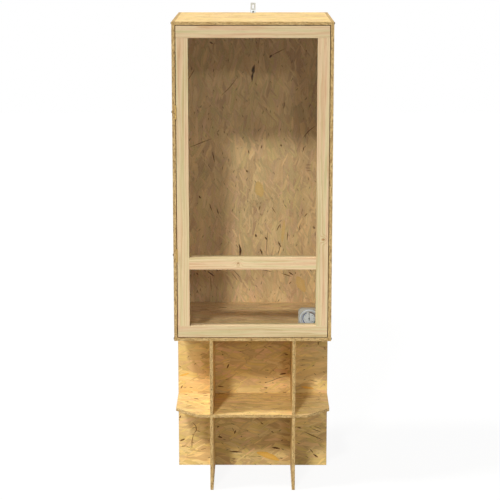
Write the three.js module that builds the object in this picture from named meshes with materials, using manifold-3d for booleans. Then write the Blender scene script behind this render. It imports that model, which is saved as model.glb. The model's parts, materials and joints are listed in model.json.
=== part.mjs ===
import * as THREE from 'three';
import { mergeVertices } from 'three/addons/utils/BufferGeometryUtils.js';
import Module from 'manifold-3d';

// Terrarium cabinet of oriented strand board on a slotted board stand, with one glazed pine door.
// Millimetres. X points right, Y to the back and Z up. The origin is on the floor, under the
// middle of the stand's cross panel.

// ---- Driving dimensions: boards and carcass ----

const BOARD = 12;
const CABINET_WIDTH = 600;
const CABINET_DEPTH = 600;
const CABINET_HEIGHT = 1212;

// ---- Driving dimensions: stand ----

const STAND_HEIGHT = 600;
const FIN_SPACING = 317; // between the middles of the two fins
const SHELF_TOP = 306; // above the floor
const SHELF_CORNER_CUT = 88; // along each edge, at 45 degrees
const SLOT_CLEARANCE = 0.3; // on each side of a board in its slot

// ---- Driving dimensions: door frame and glass ----

const MEMBER_WIDTH = 45;
const MEMBER_DEPTH = 45;
const DOOR_GAP = 3; // all round, between the frame and the boards
const LOWER_WINDOW_HEIGHT = 220;
const GLASS_THICKNESS = 3;
const GLASS_SETBACK = 24; // from the front of the frame to the glass
const GROOVE_DEPTH = 8;
const GROOVE_CLEARANCE = 0.3; // on each side of the glass or a tenon
const GLASS_EDGE_CLEARANCE = 1; // at the sides and top of a pane
const TENON_END_CLEARANCE = 0.3;

// ---- Driving dimensions: hinges ----

const HINGE_FROM_MIDDLE = 272; // up and down from the middle of the door
const HINGE_LENGTH = 50;
const LEAF_WIDTH = 24;
const LEAF_THICKNESS = 1.2;
const LEAF_SETBACK = 0.7; // from the front of the cabinet to a leaf's plate
const KNUCKLE_RADIUS = 2.5;
const KNUCKLE_COUNT = 5;
const KNUCKLE_CLEARANCE = 0.3; // between knuckles, and from a knuckle to what passes it
const PIN_RADIUS = 1;
const PIN_CLEARANCE = 0.4;
const PIN_HEAD_RADIUS = 2.2;
const PIN_HEAD_HEIGHT = 1.2;
const LEAF_SCREW_SPACING = 32;
const LEAF_SCREW_HEAD_RADIUS = 2.9;
const LEAF_SCREW_RADIUS = 1.5;
const LEAF_SCREW_LENGTH = 20;

// ---- Driving dimensions: pan head screws ----

const SCREW_HEAD_RADIUS = 4.5;
const SCREW_HEAD_HEIGHT = 3;
const SCREW_RADIUS = 2;
const SCREW_LENGTH = 35;
const SCREW_HOLE_CLEARANCE = 0.3;
const SCREW_HOLE_EXTRA = 2; // a hole runs on past its screw's tip
const SCREW_SETBACK = 15; // from the front and back edges of the side panels
const BACK_SCREW_COUNT = 3; // up each side of the back panel
const RECESS_LENGTH = 4.6; // of the cross recess in a screw head
const RECESS_WIDTH = 1.1;
const RECESS_DEPTH = 1.6;

// ---- Driving dimensions: wall bracket on the top ----

const BRACKET_WIDTH = 20;
const BRACKET_THICKNESS = 2;
const BRACKET_LEG_HEIGHT = 38;
const BRACKET_LEG_DEPTH = 42;
const BRACKET_BEND = 4; // inner radius
const BRACKET_SLOT_WIDTH = 7;
const BRACKET_SLOT_LENGTH = 16;
const BRACKET_SLOT_BOTTOM = 15; // above the top panel
const BRACKET_SCREW_SETBACK = 28; // from the back of the cabinet
const BRACKET_SCREW_HEAD_RADIUS = 5;
const BRACKET_SCREW_HEAD_HEIGHT = 3.6;
const BRACKET_SCREW_LENGTH = 11;

// ---- Driving dimensions: thermometer ----

const GAUGE_FROM_SIDE = 70.5; // middle of the gauge, from the inside of the right side panel
const GAUGE_BEHIND_DOOR = 8;
const GAUGE_SIZE = 84;
const GAUGE_CORNER = 16;
const GAUGE_DEPTH = 16;
const GAUGE_DIAL_HEIGHT = 62; // middle of the dial above the cabinet floor
const FOOT_WIDTH = 52;
const FOOT_DEPTH = 34;
const DIAL_RADIUS = 30;
const DIAL_THICKNESS = 0.8;
const DIAL_ROOM = 4; // from the lens to the back of the dial
const LENS_RADIUS = 33.5;
const LENS_THICKNESS = 2;
const LENS_CLEARANCE = 0.3;
const BEZEL_INNER_RADIUS = 31.5;
const BEZEL_OUTER_RADIUS = 38;
const BEZEL_DEPTH = 3;
const NEEDLE_LENGTH = 24;
const NEEDLE_TAIL = 8;
const NEEDLE_WIDTH = 2.4;
const NEEDLE_THICKNESS = 0.6;
const NEEDLE_LIFT = 0.6; // off the dial
const HUB_RADIUS = 3;
const HUB_THICKNESS = 1.4;
const ARBOR_RADIUS = 0.8;
const ARBOR_CLEARANCE = 0.4;
const ARBOR_LENGTH = 6;
const ARBOR_END_CLEARANCE = 0.6;

// ---- Driving dimensions: magnetic catch ----

const CATCH_LENGTH = 46;
const CATCH_WIDTH = 14;
const CATCH_DEPTH = 16;
const CATCH_PLAY = 0.3;
const STRIKE_LENGTH = 40;
const STRIKE_WIDTH = 11;
const STRIKE_THICKNESS = 1.5;
const STRIKE_EDGE = 1; // from the edge of the stile

// ---- Driving dimensions: side vents ----

const VENT_LENGTH = 150; // of the hole in the side panel
const VENT_HEIGHT = 56;
const VENT_FLANGE = 10; // the plate laps the board by this much
const VENT_THICKNESS = 1.5;
const VENT_CLEARANCE = 0.3;
const VENT_SLOT_COUNT = 6;
const VENT_SLOT_HEIGHT = 4.4;
const VENT_SLOT_MARGIN = 8; // from the collar to a slot's end
const VENT_FROM_END = 130; // from the floor or the top of the cabinet's inside

// ---- Derived planes ----

const sideOuter = CABINET_WIDTH / 2;
const sideInner = sideOuter - BOARD;
const front = -CABINET_DEPTH / 2;
const back = CABINET_DEPTH / 2;
const backInner = back - BOARD;
const roof = CABINET_HEIGHT - BOARD; // underside of the top panel, above the cabinet's base
const FULL_CUT = 1; // a cut runs this far past the face that it opens
const HALF_TURN = Math.PI;
const QUARTER_TURN = Math.PI / 2;

const wasm = await Module();
wasm.setup();

// ---- Solids ----

// Closed solid from a geometry: shared vertices are merged and triangles of no area are left out.
function toSolid(geometry) {
  const bare = geometry.clone();
  bare.deleteAttribute('normal');
  bare.deleteAttribute('uv');
  const merged = mergeVertices(bare, 1e-4);
  const index = merged.getIndex().array;
  const triangles = [];
  for (let i = 0; i < index.length; i += 3) {
    const [a, b, c] = [index[i], index[i + 1], index[i + 2]];
    if (a !== b && b !== c && c !== a) {
      triangles.push(a, b, c);
    }
  }
  const mesh = new wasm.Mesh({
    numProp: 3,
    vertProperties: Float32Array.from(merged.getAttribute('position').array),
    triVerts: Uint32Array.from(triangles),
  });
  return new wasm.Manifold(mesh);
}

function toGeometry(solid) {
  const mesh = solid.getMesh();
  const geometry = new THREE.BufferGeometry();
  geometry.setAttribute('position', new THREE.BufferAttribute(Float32Array.from(mesh.vertProperties), 3));
  geometry.setIndex(new THREE.BufferAttribute(Uint32Array.from(mesh.triVerts), 1));
  geometry.computeVertexNormals();
  return geometry;
}

// Box between the two ends of each range.
function block([left, right], [near, far], [low, high]) {
  const geometry = new THREE.BoxGeometry(1, 1, 1);
  const position = geometry.getAttribute('position');
  for (let i = 0; i < position.count; i += 1) {
    const x = position.getX(i) < 0 ? left : right;
    const y = position.getY(i) < 0 ? near : far;
    const z = position.getZ(i) < 0 ? low : high;
    position.setXYZ(i, x, y, z);
  }
  return toSolid(geometry);
}

// Turns a geometry whose axis is Y, so that its axis points along X, Y or Z.
function turnFromY(geometry, axis) {
  if (axis === 'x') {
    geometry.rotateZ(-QUARTER_TURN);
  }
  if (axis === 'z') {
    geometry.rotateX(QUARTER_TURN);
  }
  return geometry;
}

// Round bar along one axis, between the two ends of a range, through the point at.
function rod(axis, radius, [start, end], at, sides = 12) {
  const geometry = turnFromY(new THREE.CylinderGeometry(radius, radius, end - start, sides), axis);
  const middle = new THREE.Vector3(...at);
  middle[axis] = (start + end) / 2;
  geometry.translate(middle.x, middle.y, middle.z);
  return toSolid(geometry);
}

// Round solid about Y from a profile of [radius, height] points, listed from the bottom to the top.
function turned(profile, sides) {
  return toSolid(new THREE.LatheGeometry(profile.map(([r, y]) => new THREE.Vector2(r, y)), sides));
}

// Flat outline in X and Y, extruded along Z.
function plate(shape, thickness, curveSegments = 4) {
  return toSolid(new THREE.ExtrudeGeometry(shape, { depth: thickness, bevelEnabled: false, curveSegments }));
}

function roundedOutline(path, width, height, corner) {
  const x = width / 2;
  const y = height / 2;
  path.moveTo(-x + corner, -y);
  path.lineTo(x - corner, -y);
  path.absarc(x - corner, -y + corner, corner, -QUARTER_TURN, 0);
  path.lineTo(x, y - corner);
  path.absarc(x - corner, y - corner, corner, 0, QUARTER_TURN);
  path.lineTo(-x + corner, y);
  path.absarc(-x + corner, y - corner, corner, QUARTER_TURN, HALF_TURN);
  path.lineTo(-x, -y + corner);
  path.absarc(-x + corner, -y + corner, corner, HALF_TURN, HALF_TURN + QUARTER_TURN);
  return path;
}

function cutAll(solid, cutters) {
  return cutters.reduce((rest, cutter) => rest.subtract(cutter), solid);
}

function joinAll(solids) {
  return solids.reduce((whole, piece) => whole.add(piece));
}

function piece(name, solid, material) {
  const mesh = new THREE.Mesh(toGeometry(solid), material.clone());
  mesh.name = name;
  return mesh;
}

// ---- Finishes ----

function finish(color, roughness, metalness = 0) {
  return new THREE.MeshStandardMaterial({ color, roughness, metalness });
}

const strandBoard = finish('#d9a865', 0.8);
const planedPine = finish('#dcc08f', 0.6);
const brassPlate = finish('#c2a25a', 0.35, 0.9);
const blackSteel = finish('#2b2a29', 0.45, 0.8);
const zincPlate = finish('#dfe0dc', 0.35, 0.9);
const satinAluminium = finish('#c6c8c9', 0.4, 0.9);
const greyPlastic = finish('#b9b9b6', 0.45);
const darkPlastic = finish('#3a3835', 0.5);
const dialCard = finish('#f2f1ea', 0.7);
const clearGlass = new THREE.MeshStandardMaterial({
  color: '#dfeee8',
  roughness: 0.05,
  metalness: 0,
  transparent: true,
  opacity: 0.3,
});

// ---- Fasteners ----

// Pan head screw pointing down Y: the head stands on height 0 and the shank runs below it.
function panScrew(headRadius, headHeight, length) {
  const body = turned([
    [0, -length],
    [SCREW_RADIUS, -length + 2 * SCREW_RADIUS],
    [SCREW_RADIUS, 0],
    [headRadius, 0],
    [headRadius, headHeight * 0.35],
    [headRadius * 0.82, headHeight * 0.78],
    [headRadius * 0.45, headHeight],
    [0, headHeight],
  ], 14);
  const depth = [headHeight - RECESS_DEPTH, headHeight + FULL_CUT];
  const arm = [-RECESS_LENGTH / 2, RECESS_LENGTH / 2];
  const flank = [-RECESS_WIDTH / 2, RECESS_WIDTH / 2];
  return cutAll(body, [block(arm, depth, flank), block(flank, depth, arm)]);
}

function screwHole(axis, range, at) {
  return rod(axis, SCREW_RADIUS + SCREW_HOLE_CLEARANCE, range, at, 14);
}

// Screw in a side panel: side is -1 on the left and 1 on the right.
function sideScrew(name, side, y, z, length) {
  const solid = panScrew(SCREW_HEAD_RADIUS, SCREW_HEAD_HEIGHT, length);
  const screw = piece(name, solid, blackSteel);
  screw.geometry.rotateZ(-side * QUARTER_TURN);
  screw.position.set(side * sideOuter, y, z);
  return screw;
}

const screwRows = [front + SCREW_SETBACK, 0, back - SCREW_SETBACK];
const screwRowNames = ['front', 'middle', 'back'];
const boardMiddles = { bottom: BOARD / 2, top: CABINET_HEIGHT - BOARD / 2 };
const backScrewHeights = Array.from(
  { length: BACK_SCREW_COUNT },
  (_, i) => (CABINET_HEIGHT * (i + 1)) / (BACK_SCREW_COUNT + 1),
);
const backScrewY = back - BOARD / 2;
const edgeHoleEnd = sideOuter - SCREW_LENGTH - SCREW_HOLE_EXTRA;

// Holes along X in the left and right edges of a board that the side panels are screwed to.
function edgeHoles(points) {
  return points.flatMap(([y, z]) => [-1, 1].map((side) => {
    const range = side < 0 ? [-sideInner - FULL_CUT, -edgeHoleEnd] : [edgeHoleEnd, sideInner + FULL_CUT];
    return screwHole('x', range, [0, y, z]);
  }));
}

// ---- Stand ----

const crossFront = -BOARD / 2;
const lapHeight = STAND_HEIGHT / 2;
const shelfLap = (front + crossFront) / 2;
const slotHalf = BOARD / 2 + SLOT_CLEARANCE;

function makeCrossPanel() {
  const panel = block([-sideOuter, sideOuter], [crossFront, -crossFront], [0, STAND_HEIGHT]);
  const slots = [-1, 1].map((side) => {
    const x = (side * FIN_SPACING) / 2;
    const range = [x - slotHalf, x + slotHalf];
    return block(range, [-BOARD, BOARD], [lapHeight, STAND_HEIGHT + FULL_CUT]);
  });
  return piece('cross_panel', cutAll(panel, slots), strandBoard);
}

function makeFin(name, side) {
  const x = (side * FIN_SPACING) / 2;
  const through = [x - BOARD, x + BOARD];
  const board = block([x - BOARD / 2, x + BOARD / 2], [front, back], [0, STAND_HEIGHT]);
  const crossSlot = block(through, [-slotHalf, slotHalf], [-FULL_CUT, lapHeight]);
  const shelfSlot = block(
    through,
    [front - FULL_CUT, shelfLap],
    [SHELF_TOP - BOARD, SHELF_TOP + 2 * SLOT_CLEARANCE],
  );
  return piece(name, cutAll(board, [crossSlot, shelfSlot]), strandBoard);
}

function makeShelf() {
  const outline = new THREE.Shape([
    new THREE.Vector2(-sideOuter, crossFront),
    new THREE.Vector2(-sideOuter, front + SHELF_CORNER_CUT),
    new THREE.Vector2(-sideOuter + SHELF_CORNER_CUT, front),
    new THREE.Vector2(sideOuter - SHELF_CORNER_CUT, front),
    new THREE.Vector2(sideOuter, front + SHELF_CORNER_CUT),
    new THREE.Vector2(sideOuter, crossFront),
  ]);
  const board = plate(outline, BOARD).translate([0, 0, SHELF_TOP - BOARD]);
  const slots = [-1, 1].map((side) => {
    const x = (side * FIN_SPACING) / 2;
    const range = [x - slotHalf, x + slotHalf];
    return block(range, [shelfLap, crossFront + FULL_CUT], [SHELF_TOP - 2 * BOARD, SHELF_TOP + BOARD]);
  });
  return piece('front_shelf', cutAll(board, slots), strandBoard);
}

const stand = new THREE.Group();
stand.add(makeCrossPanel(), makeFin('fin_left', -1), makeFin('fin_right', 1), makeShelf());

// ---- Carcass: heights are above the base of the cabinet ----

const bracketScrewY = back - BRACKET_SCREW_SETBACK;
const bracketHoleDepth = BRACKET_SCREW_LENGTH - BRACKET_THICKNESS + SCREW_HOLE_CLEARANCE;
const doorMiddle = CABINET_HEIGHT / 2;
const hingeHeights = { lower: doorMiddle - HINGE_FROM_MIDDLE, upper: doorMiddle + HINGE_FROM_MIDDLE };
const leafMiddleY = front + LEAF_SETBACK + LEAF_WIDTH / 2;
const ventHeights = { low: BOARD + VENT_FROM_END, high: roof - VENT_FROM_END };

function makeLevelPanel(name, low, middle) {
  const board = block([-sideInner, sideInner], [front, back], [low, low + BOARD]);
  return piece(name, cutAll(board, edgeHoles(screwRows.map((y) => [y, middle]))), strandBoard);
}

function makeTopPanel() {
  const board = block([-sideInner, sideInner], [front, back], [roof, CABINET_HEIGHT]);
  const holes = edgeHoles(screwRows.map((y) => [y, boardMiddles.top]));
  const range = [CABINET_HEIGHT - bracketHoleDepth, CABINET_HEIGHT + FULL_CUT];
  const bracketHole = screwHole('z', range, [0, bracketScrewY, 0]);
  return piece('top_panel', cutAll(board, [...holes, bracketHole]), strandBoard);
}

function makeBackPanel() {
  const board = block([-sideInner, sideInner], [backInner, back], [BOARD, roof]);
  const holes = edgeHoles(backScrewHeights.map((z) => [backScrewY, z]));
  return piece('back_panel', cutAll(board, holes), strandBoard);
}

function makeSidePanel(name, side, ventHeight) {
  const x = side < 0 ? [-sideOuter, -sideInner] : [sideInner, sideOuter];
  const through = [x[0] - FULL_CUT, x[1] + FULL_CUT];
  const holes = [];
  for (const z of Object.values(boardMiddles)) {
    for (const y of screwRows) {
      holes.push(screwHole('x', through, [0, y, z]));
    }
  }
  for (const z of backScrewHeights) {
    holes.push(screwHole('x', through, [0, backScrewY, z]));
  }
  if (side < 0) {
    for (const z of Object.values(hingeHeights)) {
      holes.push(screwHole('x', through, [0, leafMiddleY, z]));
    }
  }
  const ventRange = [ventHeight - VENT_HEIGHT / 2, ventHeight + VENT_HEIGHT / 2];
  holes.push(block(through, [-VENT_LENGTH / 2, VENT_LENGTH / 2], ventRange));
  return piece(name, cutAll(block(x, [front, back], [0, CABINET_HEIGHT]), holes), strandBoard);
}

const carcass = new THREE.Group();
carcass.add(
  makeLevelPanel('bottom_panel', 0, boardMiddles.bottom),
  makeTopPanel(),
  makeBackPanel(),
  makeSidePanel('side_panel_left', -1, ventHeights.low),
  makeSidePanel('side_panel_right', 1, ventHeights.high),
);

for (const [sideName, side] of [['left', -1], ['right', 1]]) {
  for (const [level, z] of Object.entries(boardMiddles)) {
    screwRows.forEach((y, i) => {
      const name = `screw_${sideName}_${level}_${screwRowNames[i]}`;
      carcass.add(sideScrew(name, side, y, z, SCREW_LENGTH));
    });
  }
  backScrewHeights.forEach((z, i) => {
    carcass.add(sideScrew(`screw_${sideName}_back_${i + 1}`, side, backScrewY, z, SCREW_LENGTH));
  });
}

// ---- Side vents: a slotted plate outside, and a collar through the board ----

function makeVent(name, side, height) {
  const width = VENT_LENGTH + 2 * VENT_FLANGE;
  const tall = VENT_HEIGHT + 2 * VENT_FLANGE;
  const face = roundedOutline(new THREE.Shape(), width, tall, VENT_FLANGE / 2);
  const collarLength = VENT_LENGTH - 2 * VENT_CLEARANCE;
  const collarHeight = VENT_HEIGHT - 2 * VENT_CLEARANCE;
  const slotLength = collarLength - 2 * VENT_SLOT_MARGIN;
  const pitch = (collarHeight - 2 * VENT_THICKNESS) / VENT_SLOT_COUNT;
  for (let i = 0; i < VENT_SLOT_COUNT; i += 1) {
    const y = (i - (VENT_SLOT_COUNT - 1) / 2) * pitch;
    const slot = new THREE.Path();
    slot.moveTo(-slotLength / 2, y - VENT_SLOT_HEIGHT / 2);
    slot.lineTo(slotLength / 2, y - VENT_SLOT_HEIGHT / 2);
    slot.absarc(slotLength / 2, y, VENT_SLOT_HEIGHT / 2, -QUARTER_TURN, QUARTER_TURN);
    slot.lineTo(-slotLength / 2, y + VENT_SLOT_HEIGHT / 2);
    slot.absarc(-slotLength / 2, y, VENT_SLOT_HEIGHT / 2, QUARTER_TURN, HALF_TURN + QUARTER_TURN);
    face.holes.push(slot);
  }
  const inner = [collarLength / 2 - VENT_THICKNESS, collarHeight / 2 - VENT_THICKNESS];
  const collar = block(
    [-collarLength / 2, collarLength / 2],
    [-collarHeight / 2, collarHeight / 2],
    [-BOARD, VENT_THICKNESS / 2],
  ).subtract(block([-inner[0], inner[0]], [-inner[1], inner[1]], [-BOARD - FULL_CUT, VENT_THICKNESS]));
  const vent = piece(name, plate(face, VENT_THICKNESS).add(collar), satinAluminium);
  vent.geometry.rotateX(QUARTER_TURN);
  vent.geometry.rotateZ(side * QUARTER_TURN);
  vent.position.set(side * sideOuter, 0, height);
  return vent;
}

carcass.add(makeVent('vent_low', -1, ventHeights.low), makeVent('vent_high', 1, ventHeights.high));

// ---- Wall bracket on the top, flush with the back ----

function makeBracket() {
  const outer = BRACKET_BEND + BRACKET_THICKNESS;
  // The profile's X is the distance forward of the back, and its Y the height above the top panel.
  const profile = new THREE.Shape();
  profile.moveTo(BRACKET_LEG_DEPTH, 0);
  profile.lineTo(BRACKET_LEG_DEPTH, BRACKET_THICKNESS);
  profile.lineTo(outer, BRACKET_THICKNESS);
  profile.absarc(outer, outer, BRACKET_BEND, -QUARTER_TURN, -HALF_TURN, true);
  profile.lineTo(BRACKET_THICKNESS, BRACKET_LEG_HEIGHT);
  profile.lineTo(0, BRACKET_LEG_HEIGHT);
  profile.lineTo(0, outer);
  profile.absarc(outer, outer, outer, HALF_TURN, HALF_TURN + QUARTER_TURN);
  const extrusion = { depth: BRACKET_WIDTH, bevelEnabled: false, curveSegments: 5 };
  const strip = new THREE.ExtrudeGeometry(profile, extrusion);
  strip.translate(0, 0, -BRACKET_WIDTH / 2);
  strip.rotateX(QUARTER_TURN);
  strip.rotateZ(-QUARTER_TURN);
  const angle = toSolid(strip);
  const slotRadius = BRACKET_SLOT_WIDTH / 2;
  const slotEnds = [BRACKET_SLOT_BOTTOM + slotRadius, BRACKET_SLOT_BOTTOM + BRACKET_SLOT_LENGTH - slotRadius];
  const slotRange = [-2 * BRACKET_THICKNESS, BRACKET_THICKNESS];
  const slot = joinAll([
    block([-slotRadius, slotRadius], slotRange, slotEnds),
    rod('y', slotRadius, slotRange, [0, 0, slotEnds[0]], 16),
    rod('y', slotRadius, slotRange, [0, 0, slotEnds[1]], 16),
  ]);
  const hole = screwHole('z', [-FULL_CUT, BRACKET_THICKNESS + FULL_CUT], [0, -BRACKET_SCREW_SETBACK, 0]);
  const bracket = piece('wall_bracket', cutAll(angle, [slot, hole]), zincPlate);
  bracket.position.set(0, back, CABINET_HEIGHT);
  return bracket;
}

function makeBracketScrew() {
  const solid = panScrew(BRACKET_SCREW_HEAD_RADIUS, BRACKET_SCREW_HEAD_HEIGHT, BRACKET_SCREW_LENGTH);
  const screw = piece('bracket_screw', solid, blackSteel);
  screw.geometry.rotateX(QUARTER_TURN);
  screw.position.set(0, bracketScrewY, CABINET_HEIGHT + BRACKET_THICKNESS);
  return screw;
}

carcass.add(makeBracket(), makeBracketScrew());

// ---- Hinges: the frame leaf lies on the left side panel and the door leaf on the stile ----

const axisX = -sideInner + DOOR_GAP / 2;
const axisProud = KNUCKLE_RADIUS + KNUCKLE_CLEARANCE; // the pin stands this far in front of the door
const axisY = front - axisProud;
const boreRadius = PIN_RADIUS + PIN_CLEARANCE;
const knucklePitch = HINGE_LENGTH / KNUCKLE_COUNT;

// Leaf about its own pin, which stands at 0, 0: the plate lies between the two X values, and the
// knuckles counted from the first one, every second one, belong to it.
function makeLeafSolid(plateX, firstKnuckle, holes) {
  const plateY = [axisProud + LEAF_SETBACK, axisProud + LEAF_SETBACK + LEAF_WIDTH];
  const half = HINGE_LENGTH / 2;
  const solids = [block(plateX, plateY, [-half, half])];
  for (let i = firstKnuckle; i < KNUCKLE_COUNT; i += 2) {
    const low = -half + i * knucklePitch + (i > 0 ? KNUCKLE_CLEARANCE / 2 : 0);
    const high = -half + (i + 1) * knucklePitch - (i < KNUCKLE_COUNT - 1 ? KNUCKLE_CLEARANCE / 2 : 0);
    solids.push(rod('z', KNUCKLE_RADIUS, [low, high], [0, 0, 0], 20));
    solids.push(block(plateX, [0, plateY[0] + FULL_CUT], [low, high]));
  }
  const bore = rod('z', boreRadius, [-half - FULL_CUT, half + FULL_CUT], [0, 0, 0], 12);
  return cutAll(joinAll(solids), [bore, ...holes]);
}

const leafMiddle = axisProud + LEAF_SETBACK + LEAF_WIDTH / 2; // behind the pin
const gapHalf = DOOR_GAP / 2;
const leafScrewOffsets = { low: -LEAF_SCREW_SPACING / 2, high: LEAF_SCREW_SPACING / 2 };

function makeFrameLeaf(name, height) {
  const plateX = [-gapHalf, -gapHalf + LEAF_THICKNESS];
  const hole = screwHole('x', [-DOOR_GAP, DOOR_GAP], [0, leafMiddle, 0]);
  const leaf = piece(name, makeLeafSolid(plateX, 0, [hole]), brassPlate);
  leaf.position.set(axisX, axisY, height);
  return leaf;
}

function makePin(name, height) {
  const half = HINGE_LENGTH / 2;
  const pin = joinAll([
    rod('z', PIN_RADIUS, [-half, half + PIN_HEAD_HEIGHT / 2], [0, 0, 0], 12),
    rod('z', PIN_HEAD_RADIUS, [half, half + PIN_HEAD_HEIGHT], [0, 0, 0], 12),
  ]);
  const mesh = piece(name, pin, brassPlate);
  mesh.position.set(axisX, axisY, height);
  return mesh;
}

const boltLength = BOARD + LEAF_THICKNESS - SCREW_HOLE_CLEARANCE;
for (const [level, height] of Object.entries(hingeHeights)) {
  carcass.add(
    makeFrameLeaf(`hinge_${level}_frame_leaf`, height),
    makePin(`hinge_${level}_pin`, height),
    sideScrew(`hinge_${level}_bolt`, -1, leafMiddleY, height, boltLength),
  );
}

// ---- Magnetic catch on the right side panel ----

const catchFront = front + MEMBER_DEPTH + STRIKE_THICKNESS + CATCH_PLAY;
const catchBody = piece(
  'catch_body',
  block(
    [sideInner - CATCH_WIDTH, sideInner],
    [catchFront, catchFront + CATCH_DEPTH],
    [doorMiddle - CATCH_LENGTH / 2, doorMiddle + CATCH_LENGTH / 2],
  ),
  darkPlastic,
);
carcass.add(catchBody);

// ---- Door, in its own frame: the hinge pins stand at 0, 0 and the door's bottom edge is at 0 ----

const doorWidth = CABINET_WIDTH - 2 * (BOARD + DOOR_GAP);
const doorHeight = CABINET_HEIGHT - 2 * (BOARD + DOOR_GAP);
const doorX = [gapHalf, gapHalf + doorWidth];
const doorY = [axisProud, axisProud + MEMBER_DEPTH];
const openingX = [doorX[0] + MEMBER_WIDTH, doorX[1] - MEMBER_WIDTH];
const bottomRailTop = MEMBER_WIDTH;
const middleRailBottom = bottomRailTop + LOWER_WINDOW_HEIGHT;
const middleRailTop = middleRailBottom + MEMBER_WIDTH;
const topRailBottom = doorHeight - MEMBER_WIDTH;
const glassY = [axisProud + GLASS_SETBACK, axisProud + GLASS_SETBACK + GLASS_THICKNESS];
const grooveY = [glassY[0] - GROOVE_CLEARANCE, glassY[1] + GROOVE_CLEARANCE];
const tenonLength = GROOVE_DEPTH - TENON_END_CLEARANCE;

// Groove that opens upwards (side 1) or downwards (side -1) from the given height.
function grooveAlongX(range, height, side) {
  const low = side > 0 ? height - GROOVE_DEPTH : height - FULL_CUT;
  return block(range, grooveY, [low, low + GROOVE_DEPTH + FULL_CUT]);
}

function makeEndRail(name, low, side) {
  const rail = block(doorX, doorY, [low, low + MEMBER_WIDTH]);
  const edge = side > 0 ? low + MEMBER_WIDTH : low;
  const range = [doorX[0] - FULL_CUT, doorX[1] + FULL_CUT];
  return piece(name, rail.subtract(grooveAlongX(range, edge, side)), planedPine);
}

function makeMiddleRail() {
  const rail = block(openingX, doorY, [middleRailBottom, middleRailTop]);
  const range = [openingX[0] - FULL_CUT, openingX[1] + FULL_CUT];
  const grooves = [grooveAlongX(range, middleRailTop, 1), grooveAlongX(range, middleRailBottom, -1)];
  const tenon = block(
    [openingX[0] - tenonLength, openingX[1] + tenonLength],
    glassY,
    [middleRailBottom + GROOVE_DEPTH, middleRailTop - GROOVE_DEPTH],
  );
  return piece('door_rail_middle', cutAll(rail, grooves).add(tenon), planedPine);
}

function makeStile(name, outer, inner, holes) {
  const range = [Math.min(outer, inner), Math.max(outer, inner)];
  const inward = Math.sign(inner - outer);
  const grooveEnd = inner - inward * GROOVE_DEPTH;
  const open = inner + inward * FULL_CUT;
  const grooveX = [Math.min(grooveEnd, open), Math.max(grooveEnd, open)];
  const tenonX = [Math.min(outer, grooveEnd), Math.max(outer, grooveEnd)];
  const post = block(range, doorY, [bottomRailTop, topRailBottom]);
  const groove = block(grooveX, grooveY, [bottomRailTop - FULL_CUT, topRailBottom + FULL_CUT]);
  const tenon = block(tenonX, glassY, [bottomRailTop - tenonLength, topRailBottom + tenonLength]);
  return piece(name, cutAll(post.subtract(groove).add(tenon), holes), planedPine);
}

function makePane(name, low, high) {
  const reach = GROOVE_DEPTH - GLASS_EDGE_CLEARANCE;
  const pane = block([openingX[0] - reach, openingX[1] + reach], glassY, [low - GROOVE_DEPTH, high + reach]);
  return piece(name, pane, clearGlass);
}

const doorBottom = BOARD + DOOR_GAP;
const leafScrewHeights = [];
for (const [level, height] of Object.entries(hingeHeights)) {
  for (const [end, offset] of Object.entries(leafScrewOffsets)) {
    leafScrewHeights.push({ name: `hinge_${level}_screw_${end}`, z: height - doorBottom + offset });
  }
}
const leafScrewHoles = leafScrewHeights.map(({ z }) => {
  const range = [gapHalf - FULL_CUT, gapHalf + LEAF_SCREW_LENGTH];
  return rod('x', LEAF_SCREW_RADIUS + SCREW_HOLE_CLEARANCE, range, [0, leafMiddle, z], 12);
});

// Countersunk screw pointing along Y, grown all round by an allowance: its flat head lies at
// height 0 and its tip above it.
function makeCountersunk(grow) {
  return turned([
    [0, -grow],
    [LEAF_SCREW_HEAD_RADIUS + grow, -grow],
    [LEAF_SCREW_HEAD_RADIUS + grow, 0],
    [LEAF_SCREW_RADIUS + grow, LEAF_THICKNESS],
    [LEAF_SCREW_RADIUS + grow, LEAF_SCREW_LENGTH - 2 * LEAF_SCREW_RADIUS],
    [0, LEAF_SCREW_LENGTH],
  ], 12);
}

function makeLeafScrew({ name, z }) {
  const screw = piece(name, makeCountersunk(0), brassPlate);
  screw.geometry.rotateZ(-QUARTER_TURN);
  screw.position.set(gapHalf - LEAF_THICKNESS, leafMiddle, z);
  return screw;
}

function makeDoorLeaf(name, height) {
  const plateX = [gapHalf - LEAF_THICKNESS, gapHalf];
  const holes = Object.values(leafScrewOffsets).map((offset) => {
    const hole = makeCountersunk(SCREW_HOLE_CLEARANCE).rotate([0, 0, -90]);
    return hole.translate([plateX[0], leafMiddle, offset]);
  });
  const leaf = piece(name, makeLeafSolid(plateX, 1, holes), brassPlate);
  leaf.position.set(0, 0, height - doorBottom);
  return leaf;
}

const strikeX = [doorX[1] - STRIKE_EDGE - STRIKE_WIDTH, doorX[1] - STRIKE_EDGE];
const strikeZ = [(doorHeight - STRIKE_LENGTH) / 2, (doorHeight + STRIKE_LENGTH) / 2];
const strike = block(strikeX, [doorY[1], doorY[1] + STRIKE_THICKNESS], strikeZ);

const door = new THREE.Group();
door.position.set(axisX, axisY, doorBottom);
door.add(
  makeStile('door_stile_left', doorX[0], openingX[0], leafScrewHoles),
  makeStile('door_stile_right', doorX[1], openingX[1], []),
  makeEndRail('door_rail_bottom', 0, 1),
  makeEndRail('door_rail_top', topRailBottom, -1),
  makeMiddleRail(),
  makePane('glass_lower', bottomRailTop, middleRailBottom),
  makePane('glass_upper', middleRailTop, topRailBottom),
  piece('catch_strike', strike, zincPlate),
  ...leafScrewHeights.map(makeLeafScrew),
  ...Object.entries(hingeHeights).map(([level, height]) => makeDoorLeaf(`hinge_${level}_door_leaf`, height)),
);

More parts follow.
